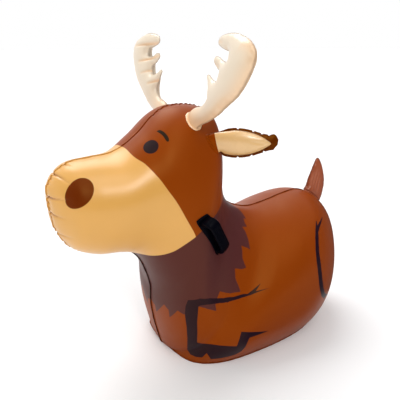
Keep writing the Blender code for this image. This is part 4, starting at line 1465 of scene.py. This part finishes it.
def ear_place():
    level = Vector((math.cos(EAR_SWEEP), math.sin(EAR_SWEEP), 0.0))
    down = Vector((0.0, 0.0, -1.0))
    across = down * math.cos(EAR_SLANT) + level * math.sin(EAR_SLANT)
    along = level * math.cos(EAR_SLANT) - down * math.sin(EAR_SLANT)
    return frame_matrix(across, along, joint_place("ear_left_flex"))


# Ears: how far the root reaches down, spacing of points, swelling of the mouth, ripple of the flange,
# puckers as spacing, depth, half width and length, and the end of the weld that stays clear of them
EAR_REACH = 0.008
EAR_POINTS = 0.0020
EAR_MOUTH = 0.5
EAR_RIPPLE = 0.0006
EAR_PUCKERS = (0.013, 0.0008, 0.0022, 0.009)
EAR_CLEAR = 0.01
# Folds: start, end, depth, half width, and the sheet, or 0 for both
EAR_FOLDS = (
    ((-0.004, 0.060), (0.001, 0.090), 0.0010, 0.0030, 1),
    ((0.006, 0.002), (0.004, 0.022), 0.0010, 0.0030, 0),
)
# From where the root is seated and with which gap, its lip as width and height, and its bend
EAR_SEAT = (0.008, 0.0003)
EAR_LIP = (0.0026, 0.0014)
EAR_BEND = (-0.010, 0.024)
# Flange of an ear along its weld: where the tip is, the width, how it flares at the tip and narrows
# at a notch, as size and spread, and where it starts and ends, as place and length of the taper
EAR_TIP = 0.51
EAR_FLANGE = 0.0046
EAR_FLARES = ((0.0055, 0.075), (0.0060, 0.030))
EAR_NOTCH = (0.0030, 0.0055)
FLANGE_START = (0.06, 0.10)
FLANGE_END = (0.985, 0.03)
LEAST_FLANGE = 0.0009
# Gloss, tint and coat of the lining
LINING_FINISH = (0.22, (1.0, 0.90, 0.70), 1.0)


def bell(off, size, spread):
    """Height of a bell curve beside its middle."""
    return size * math.exp(-(off / spread) ** 2)


def ear_rim(share):
    """Width of the notched flange of an ear, wider at the tip."""
    width = EAR_FLANGE + sum(bell(share - EAR_TIP, *flare) for flare in EAR_FLARES)
    for notch in EAR_NOTCHES:
        width -= bell(share - notch, *EAR_NOTCH)
    start, rise = FLANGE_START
    end, fall = FLANGE_END
    return max(width * held_share(min((share - start) / rise, (end - share) / fall)), LEAST_FLANGE)


class HOPPER_OT_ears(bpy.types.Operator):
    """Build the two ears with their tan lining and notched brown flange"""

    bl_idname = "hopper.ears"
    bl_label = "Ears"

    def execute(self, context):
        turn = Matrix.Rotation(-EAR_SLANT, 2)
        pillow = Pillow(turn_points(turn, EAR_OUTLINE), sizes().ear_root, EAR_REACH,
                        sizes().ear_depth, EAR_POINTS, EAR_MOUTH)
        tree = hull_search()
        place = ear_place()
        foot = place @ Vector(LINING_FOOT)
        way = place.to_3x3() @ Vector(LINING_WAY)
        lining = plain_vinyl("ear_lining_film", colours().ear, None, *LINING_FINISH)
        brown = plain_vinyl("ear_back_film", colours().ear_rim)
        coat = plain_vinyl("coat_film", colours().coat)
        for name, side, seed in (("left", 1, 8), ("right", -1, 9)):
            puckers = pillow.puckers(seed, EAR_CLEAR, EAR_PUCKERS)
            creases = turn_folds(turn, EAR_FOLDS)
            bm, channels = inflate(pillow, puckers, creases, ear_rim, 1, EAR_RIPPLE)
            ring = seat_root(bm, place, tree, *EAR_SEAT)
            bmesh.ops.bisect_plane(bm, geom=bm.verts[:] + bm.edges[:] + bm.faces[:],
                                   plane_co=foot, plane_no=way)
            for face in bm.faces:
                if all(vert[channels["away"]] <= 1e-6 for vert in face.verts):
                    face.material_index = 1
                elif (face.calc_center_median() - foot).dot(way) < 0:
                    face.material_index = 2
            bead = weld_bead(ring, tree, *EAR_LIP)
            weld_on(f"ear_{name}", side, place, EAR_BEND,
                    (bm, [lining, brown, coat], ("front", "back"), "tan_vinyl"),
                    (bead, coat, "brown_vinyl"))
        return {"FINISHED"}


def tail_place():
    axis = Vector(JOINTS["tail_flex"]["axis"]).normalized()
    return frame_matrix(axis, Vector((1.0, 0.0, 0.0)).cross(axis), joint_place("tail_flex"))


# Tail: how far the root reaches down, spacing of points, width of the rim, puckers as spacing, depth,
# half width and length, and the end of the weld that stays clear of them
TAIL_REACH = 0.010
TAIL_POINTS = 0.0021
TAIL_RIM = 0.0018
TAIL_PUCKERS = (0.014, 0.0010, 0.0024, 0.012)
TAIL_CLEAR = 0.01
TAIL_SEED = 21
# Folds that fan out from the root: start and end, with one depth and half width for all
TAIL_FOLDS = (
    ((-0.026, 0.002), (-0.038, 0.034)), ((-0.019, 0.000), (-0.035, 0.042)),
    ((-0.011, 0.000), (-0.027, 0.040)), ((-0.002, 0.000), (-0.016, 0.034)),
)
TAIL_FOLD = (0.0026, 0.0019)
# From where the root is seated and with which gap, its lip as width and height, and its bend
TAIL_SEAT = (0.008, 0.0045)
TAIL_LIP = (0.0030, 0.0030)
TAIL_BEND = (-0.010, 0.022)
# Gloss, tint and coat of the russet film
RUSSET_FINISH = (0.24, (1.0, 0.62, 0.40), 0.25)


class HOPPER_OT_tail(bpy.types.Operator):
    """Build the upright tail and the lip that welds it to the rump"""

    bl_idname = "hopper.tail"
    bl_label = "Tail"

    def execute(self, context):
        pillow = Pillow(TAIL_OUTLINE, sizes().tail_root, TAIL_REACH, sizes().tail_depth, TAIL_POINTS)
        tree = hull_search()
        # The folds of the tail get a painted highlight in the paler russet
        russet = plain_vinyl("tail_film", colours().tail, colours().tail_fold_highlight, *RUSSET_FINISH)
        edging = plain_vinyl("tail_lip_film", colours().tail, None, *RUSSET_FINISH)
        puckers = pillow.puckers(TAIL_SEED, TAIL_CLEAR, TAIL_PUCKERS)
        creases = [(*fold, *TAIL_FOLD, 0) for fold in TAIL_FOLDS]
        bm, _ = inflate(pillow, puckers, creases, lambda share: TAIL_RIM)
        place = tail_place()
        ring = seat_root(bm, place, tree, *TAIL_SEAT)
        bead = weld_bead(ring, tree, *TAIL_LIP)
        weld_on("tail", 1, place, TAIL_BEND, (bm, [russet], ("left", "right"), "russet_vinyl"),
                (bead, edging, "russet_vinyl"))
        return {"FINISHED"}


# Grips
GRIP_AT = (10.0, 0.502)
GRIP_TILT = math.radians(30.5)
GRIP_FOOT = 0.011
# Radius of the bends in the middle line, points up a foot, round a bend and along the bar, points
# round the section, the power that squares the section, and how suddenly the bar thickens to a foot
GRIP_BEND = 0.0115
FOOT_POINTS = 6
BEND_POINTS = 9
BAR_POINTS = 30
GRIP_AROUND = 48
GRIP_SQUARE = 0.55
FOOT_POWER = 6
# A groove along each side of the outer face: place and half width across, depth, and where it ends
GROOVE_AT = 0.60
GROOVE_WIDTH = 0.09
GROOVE_DEPTH = 0.0007
GROOVE_END = 0.031
# Finger ribs of the inner face: spacing, depth as a share, and where they end
RIB_SPACING = 0.0047
RIB_DEPTH = 0.10
RIB_END = 0.024
# How far the bar is raised, and the gap of its feet to the patch
GRIP_LIFT = 0.0016
FOOT_GAP = 0.0006
# Patch: width and length, sheet, gap to the hull, faces each way, how far its sides draw in at the
# corners and how suddenly, and how far its ends bow
PATCH_SIZE = (0.026, 0.089)
PATCH_SHEET = 0.0014
PATCH_GAP = 0.0004
PATCH_FACES = (16, 52)
PATCH_SIDES = 0.30
PATCH_POWER = 9
PATCH_ENDS = 0.055
# Height above the hull from which a grip looks for it
GRIP_LOOK = 0.06


def grip_place():
    s, t = (np.array([value]) for value in GRIP_AT)
    facing = Vector(hull_normals(s, t)[0])
    lean = Vector((0.0, math.sin(GRIP_TILT), -math.cos(GRIP_TILT)))
    along = (lean - facing * lean.dot(facing)).normalized()
    return frame_matrix(along.cross(facing), along, hull_point(GRIP_AT))


def on_hull(tree, place, x, y, rise):
    """The place on the hull below a point of a grip's own plane, raised a little."""
    facing = place.to_3x3() @ Vector((0.0, 0.0, 1.0))
    hit, normal, _, _ = tree.ray_cast(place @ Vector((x, y, GRIP_LOOK)), -facing, LOOK_LENGTH)
    if hit is None:
        raise RuntimeError("a grip misses the hull")
    return hit + normal * rise


def grip_path(length, height, bar, foot):
    """Middle line of an arched grip, from one foot to the other."""
    rise = height - bar / 2
    upright = -length / 2 + foot / 2
    line = [(upright, f * (rise - GRIP_BEND)) for f in np.linspace(0, 1, FOOT_POINTS)]
    for angle in np.linspace(0, math.pi / 2, BEND_POINTS)[1:]:
        line.append((upright + GRIP_BEND * (1 - math.cos(angle)),
                     rise - GRIP_BEND * (1 - math.sin(angle))))
    far_end = [(-y, z) for y, z in reversed(line)]
    inner = upright + GRIP_BEND
    for f in np.linspace(0, 1, BAR_POINTS)[1:-1]:
        line.append((inner - 2 * inner * f, rise))
    return line + far_end


def squared(value):
    """Sine or cosine of a section, pushed out towards the corners of a square."""
    return math.copysign(abs(value) ** GRIP_SQUARE, value)


def grip_bar(tree, place):
    """The moulded bar on its two feet, grooved outside, with finger ribs on its inner face."""
    size = sizes()
    points = np.array(grip_path(size.grip_length, size.grip_height, size.grip_bar, GRIP_FOOT))
    way = np.gradient(points, axis=0)
    way /= np.linalg.norm(way, axis=1, keepdims=True)
    half_width = size.grip_width / 2
    upright = size.grip_length / 2 - GRIP_FOOT / 2
    last = len(points) - 1
    bm = bmesh.new()
    bmesh.ops.create_grid(bm, x_segments=GRIP_AROUND, y_segments=last, size=1.0)
    for vert in bm.verts:
        i = int(round((vert.co.x + 1) / 2 * GRIP_AROUND)) % GRIP_AROUND
        k = int(round((vert.co.y + 1) / 2 * last))
        at = points[k, 0]
        angle = 2 * math.pi * i / GRIP_AROUND
        across = squared(math.cos(angle)) * half_width
        foot = min(abs(at) / upright, 1.0) ** FOOT_POWER
        thick = size.grip_bar + (GRIP_FOOT - size.grip_bar) * foot
        off = squared(math.sin(angle)) * thick / 2
        if off > 0 and abs(at) < GROOVE_END:
            beside = (abs(across) / half_width - GROOVE_AT) / GROOVE_WIDTH
            off -= GROOVE_DEPTH * math.exp(-beside * beside)
        if off < 0 and abs(at) < RIB_END:
            rib = 0.5 + 0.5 * math.cos(at / RIB_SPACING * 2 * math.pi)
            off *= 1 - RIB_DEPTH * rib
        y = at - way[k, 1] * off
        z = points[k, 1] + way[k, 0] * off
        if k in (0, last):
            vert.co = on_hull(tree, place, across, y, PATCH_SHEET + FOOT_GAP)
        else:
            vert.co = place @ Vector((across, y, z + GRIP_LIFT))
    bmesh.ops.remove_doubles(bm, verts=bm.verts, dist=1e-6)
    bmesh.ops.holes_fill(bm, edges=[e for e in bm.edges if e.is_boundary], sides=0)
    bmesh.ops.recalc_face_normals(bm, faces=bm.faces)
    return bm


def grip_patch(tree, place):
    """The welded sheet under a grip, with rounded ends."""
    width, length = PATCH_SIZE
    across, along = PATCH_FACES
    bm = bmesh.new()
    bmesh.ops.create_grid(bm, x_segments=across, y_segments=along, size=1.0)
    for vert in bm.verts:
        a, b = vert.co.x, vert.co.y
        round_a = a * math.sqrt(1 - PATCH_SIDES * abs(b) ** PATCH_POWER)
        round_b = b * math.sqrt(1 - PATCH_ENDS * a * a)
        vert.co = on_hull(tree, place, round_a * width / 2, round_b * length / 2,
                          PATCH_GAP + PATCH_SHEET)
    bmesh.ops.recalc_face_normals(bm, faces=bm.faces)
    facing = place.to_3x3() @ Vector((0.0, 0.0, 1.0))
    if sum(face.normal.dot(facing) for face in bm.faces) < 0:
        bmesh.ops.reverse_faces(bm, faces=bm.faces)
    return bm


def marked_plastic(name, colour, other, marks, gloss):
    """Moulded plastic whose tone and gloss wander between two values."""
    made, tree, shader = new_material(name)
    smear = noise(tree, *marks)
    feed(tree, shader.inputs["Base Color"], mixed(tree, smear, rgba(colour), rgba(other)))
    feed(tree, shader.inputs["Roughness"], ranged(tree, smear, FULL_RANGE, gloss))
    return made, tree, shader


# Grips: noise of the handling marks and grain as scale, detail and roughness, the marked tone,
# the gloss, the depth of the grain, and how weakly the plastic mirrors
GRIP_MARKS = (60.0, 5.0, 0.65)
GRIP_GRAIN = (1500.0, 2.0, 0.5)
GRIP_TONE = (0.002, 0.002, 0.005)
GRIP_GLOSS = (0.20, 0.42)
GRIP_BUMP = (0.18, 0.0004)
GRIP_MIRROR = 0.03


def black_moulding():
    """Glossy black plastic with a faint grain and handling marks."""
    if "grip_moulding" in bpy.data.materials:
        return bpy.data.materials["grip_moulding"]
    made, tree, shader = marked_plastic(
        "grip_moulding", colours().moulding, GRIP_TONE, GRIP_MARKS, GRIP_GLOSS)
    bump(tree, shader, noise(tree, *GRIP_GRAIN), *GRIP_BUMP)
    shader.inputs["Specular IOR Level"].default_value = GRIP_MIRROR
    return made


class HOPPER_OT_grips(bpy.types.Operator):
    """Build the two moulded neck grips and their welded patches"""

    bl_idname = "hopper.grips"
    bl_label = "Grips"

    def execute(self, context):
        tree = hull_search()
        place = grip_place()
        for name, side in (("left", 1), ("right", -1)):
            bar = grip_bar(tree, place)
            patch = grip_patch(tree, place)
            if side < 0:
                flip(bar)
                flip(patch)
            add_piece(f"grip_{name}_bar", bar, [black_moulding()], "hull", [f"grip_{name}"])
            sheet = add_piece(f"grip_{name}_pad", patch, [black_moulding()], "hull",
                              [f"grip_{name}_patch"])
            thicken(sheet, PATCH_SHEET)
        return {"FINISHED"}


# Valve: noise of its clouds as scale, detail and roughness, its second tone, its gloss, and how
# milky it is and how deep
VALVE_MARKS = (220.0, 3.0, 0.55)
VALVE_TONE = (0.66, 0.66, 0.62)
VALVE_GLOSS = (0.24, 0.40)
VALVE_MILK = 0.25
VALVE_MILK_DEPTH = (0.004, 0.004, 0.004)


class HOPPER_OT_valve(bpy.types.Operator):
    """Give the valve pieces their milky plastic"""

    bl_idname = "hopper.valve"
    bl_label = "Valve"

    def execute(self, context):
        made, _, shader = marked_plastic(
            "valve_plastic", colours().valve, VALVE_TONE, VALVE_MARKS, VALVE_GLOSS)
        shader.inputs["Subsurface Weight"].default_value = VALVE_MILK
        shader.inputs["Subsurface Radius"].default_value = VALVE_MILK_DEPTH
        for name in ("valve_flange", "valve_stem", "valve_check_flap", "valve_cap"):
            mesh = frame["nodes"][name].data
            mesh.materials.clear()
            mesh.materials.append(made)
        return {"FINISHED"}


# Stage
CAMERA_AT = (0.8088, -0.6254, 0.6007)
CAMERA_AIM = (0.0, -0.12, 0.3)
LENS = 44.1
SENSOR = 36.0
# Half the width of the floor, its height, and how far it glows to the camera alone
FLOOR_HALF = 60.0
FLOOR_Z = -0.0004
FLOOR_GLOW = 0.09
# How rough the floor is and how weakly it mirrors
FLOOR_ROUGHNESS = 0.7
FLOOR_MIRROR = 0.1
# Bearings, height in degrees and distance of the wall round the camera, and its faces each way
WALL_FROM = -85
WALL_TO = 130
WALL_TOP = 40
WALL_AWAY = 9.0
WALL_FACES = (24, 8)
# Cards on the floor: name, from and to along X, and rows along Y and up
FLOOR_CARDS = (
    ("studio_flag", -0.75, 0.75, ((0.255, 0.0004), (0.95, 0.0004), (0.95, 0.62))),
    ("studio_mat", 0.175, 0.75, ((-0.10, 0.0004), (0.255, 0.0004))),
)
CARD_GREY = (0.10, 0.10, 0.10, 1.0)
CARD_ROUGHNESS = 0.9
# The sky is brighter behind the object, on the left
SKY_SIDE = (-0.84, -0.19, 0.51)
SKY_LEVEL = 0.43
SKY_SLOPE = 0.38
# Soft lamps: name, place they shine from, spread in degrees, strength
LAMPS = (
    ("key", (-0.58, 0.02, 1.0), 42.0, 1.5),
    ("top", (0.48, 0.03, 0.87), 30.0, 0.38),
    ("front", (0.77, -0.19, 0.60), 15.0, 0.75),
)


def soft_sun(name, place, spread, strength):
    """A distant soft lamp that lights the whole floor evenly."""
    lamp = bpy.data.lights.new(name, "SUN")
    lamp.angle = math.radians(spread)
    lamp.energy = strength
    made = bpy.data.objects.new(name, lamp)
    made.location = place
    made.rotation_euler = (-Vector(place)).to_track_quat("-Z", "Y").to_euler()
    bpy.context.scene.collection.objects.link(made)


def pale_floor():
    """A wide pale floor."""
    bm = bmesh.new()
    bmesh.ops.create_grid(bm, x_segments=1, y_segments=1, size=FLOOR_HALF)
    bmesh.ops.translate(bm, vec=(0.0, 0.0, FLOOR_Z), verts=bm.verts)
    made, tree, shader = new_material("pale_floor", FLOOR_ROUGHNESS)
    shader.inputs["Base Color"].default_value = rgba(colours().floor)
    shader.inputs["Specular IOR Level"].default_value = FLOOR_MIRROR
    shader.inputs["Emission Color"].default_value = WHITE
    seen = new_node(tree, "ShaderNodeLightPath").outputs["Is Camera Ray"]
    feed(tree, shader.inputs["Emission Strength"], maths(tree, "MULTIPLY", seen, FLOOR_GLOW))
    floor = add_piece("floor", bm, [made], None)


def studio_sky(scene):
    """A sky that is white to the camera and in reflections, and gives a softer, sloping light."""
    world = bpy.data.worlds.new("studio")
    world.use_nodes = True
    scene.world = world
    sky = world.node_tree
    back = sky.nodes["Background"]
    back.inputs["Color"].default_value = WHITE
    way = new_node(sky, "ShaderNodeTexCoord")
    slope = new_node(sky, "ShaderNodeVectorMath", operation="DOT_PRODUCT")
    feed(sky, slope.inputs[0], way.outputs["Generated"])
    feed(sky, slope.inputs[1], SKY_SIDE)
    soft = maths(sky, "MULTIPLY_ADD", slope.outputs["Value"], SKY_SLOPE, SKY_LEVEL)
    path = new_node(sky, "ShaderNodeLightPath")
    seen = maths(sky, "MAXIMUM", path.outputs["Is Camera Ray"], path.outputs["Is Glossy Ray"])
    feed(sky, back.inputs["Strength"], ranged(sky, seen, FULL_RANGE, (soft, 1.0)))


def dim_card(name, bm):
    """Stage a dim card that only shows in reflections."""
    if "studio_card" in bpy.data.materials:
        made = bpy.data.materials["studio_card"]
    else:
        made, _, shader = new_material("studio_card", CARD_ROUGHNESS)
        shader.inputs["Base Color"].default_value = CARD_GREY
    card = add_piece(name, bm, [made], None)
    card.visible_camera = False
    card.visible_diffuse = False
    card.visible_shadow = False


def dark_wall():
    """A dim studio wall behind and beside the camera."""
    bm = bmesh.new()
    bmesh.ops.create_grid(bm, x_segments=WALL_FACES[0], y_segments=WALL_FACES[1], size=1.0)
    for vert in bm.verts:
        round_by = math.radians(WALL_FROM + (WALL_TO - WALL_FROM) * (vert.co.x + 1) / 2)
        up = math.radians(WALL_TOP * (vert.co.y + 1) / 2)
        level = WALL_AWAY * math.cos(up)
        vert.co = (level * math.cos(round_by), level * math.sin(round_by), WALL_AWAY * math.sin(up))
    dim_card("studio_wall", bm)


def floor_cards():
    """Dim cards on the floor behind the rump, standing up at the far edge, and beside the flank."""
    for name, left, right, rows in FLOOR_CARDS:
        bm = bmesh.new()
        bmesh.ops.create_grid(bm, x_segments=1, y_segments=len(rows) - 1, size=1.0)
        for vert in bm.verts:
            row = round((vert.co.y + 1) / 2 * (len(rows) - 1))
            vert.co = (left if vert.co.x < 0 else right, *rows[row])
        dim_card(name, bm)


def set_camera(scene):
    """The camera at the photograph's viewing angle."""
    lens = bpy.data.cameras.new("camera")
    lens.lens = LENS
    lens.sensor_width = SENSOR
    eye = bpy.data.objects.new("camera", lens)
    eye.location = CAMERA_AT
    aim = Vector(CAMERA_AIM) - Vector(CAMERA_AT)
    eye.rotation_euler = aim.to_track_quat("-Z", "Y").to_euler()
    scene.collection.objects.link(eye)
    scene.camera = eye


class HOPPER_OT_stage(bpy.types.Operator):
    """Set the pale floor, the soft light and the camera"""

    bl_idname = "hopper.stage"
    bl_label = "Stage"

    def execute(self, context):
        context.scene.view_settings.view_transform = "Standard"
        pale_floor()
        studio_sky(context.scene)
        dark_wall()
        floor_cards()
        for lamp in LAMPS:
            soft_sun(*lamp)
        set_camera(context.scene)
        return {"FINISHED"}


class HOPPER_PT_panel(bpy.types.Panel):
    """Lists the operators in the order in which they run."""

    bl_idname = "HOPPER_PT_panel"
    bl_label = "Animal hopper"
    bl_space_type = "VIEW_3D"
    bl_region_type = "UI"
    bl_category = "Hopper"

    def draw(self, context):
        for step in STEPS:
            self.layout.operator(step.bl_idname)


STEPS = (
    HOPPER_OT_stage, HOPPER_OT_body, HOPPER_OT_base, HOPPER_OT_antlers, HOPPER_OT_ears,
    HOPPER_OT_tail, HOPPER_OT_grips, HOPPER_OT_valve,
)
CLASSES = (HopperSizes, HopperColours, *STEPS, HOPPER_PT_panel)


def register():
    for made in CLASSES:
        bpy.utils.register_class(made)
    bpy.types.Scene.hopper_sizes = PointerProperty(type=HopperSizes)
    bpy.types.Scene.hopper_colours = PointerProperty(type=HopperColours)


def unregister():
    del bpy.types.Scene.hopper_colours
    del bpy.types.Scene.hopper_sizes
    for made in reversed(CLASSES):
        bpy.utils.unregister_class(made)


def main():
    register()
    bpy.ops.hopper.stage()
    bpy.ops.hopper.body()
    bpy.ops.hopper.base()
    bpy.ops.hopper.antlers()
    bpy.ops.hopper.ears()
    bpy.ops.hopper.tail()
    bpy.ops.hopper.grips()
    bpy.ops.hopper.valve()


if __name__ == "__main__":
    main()
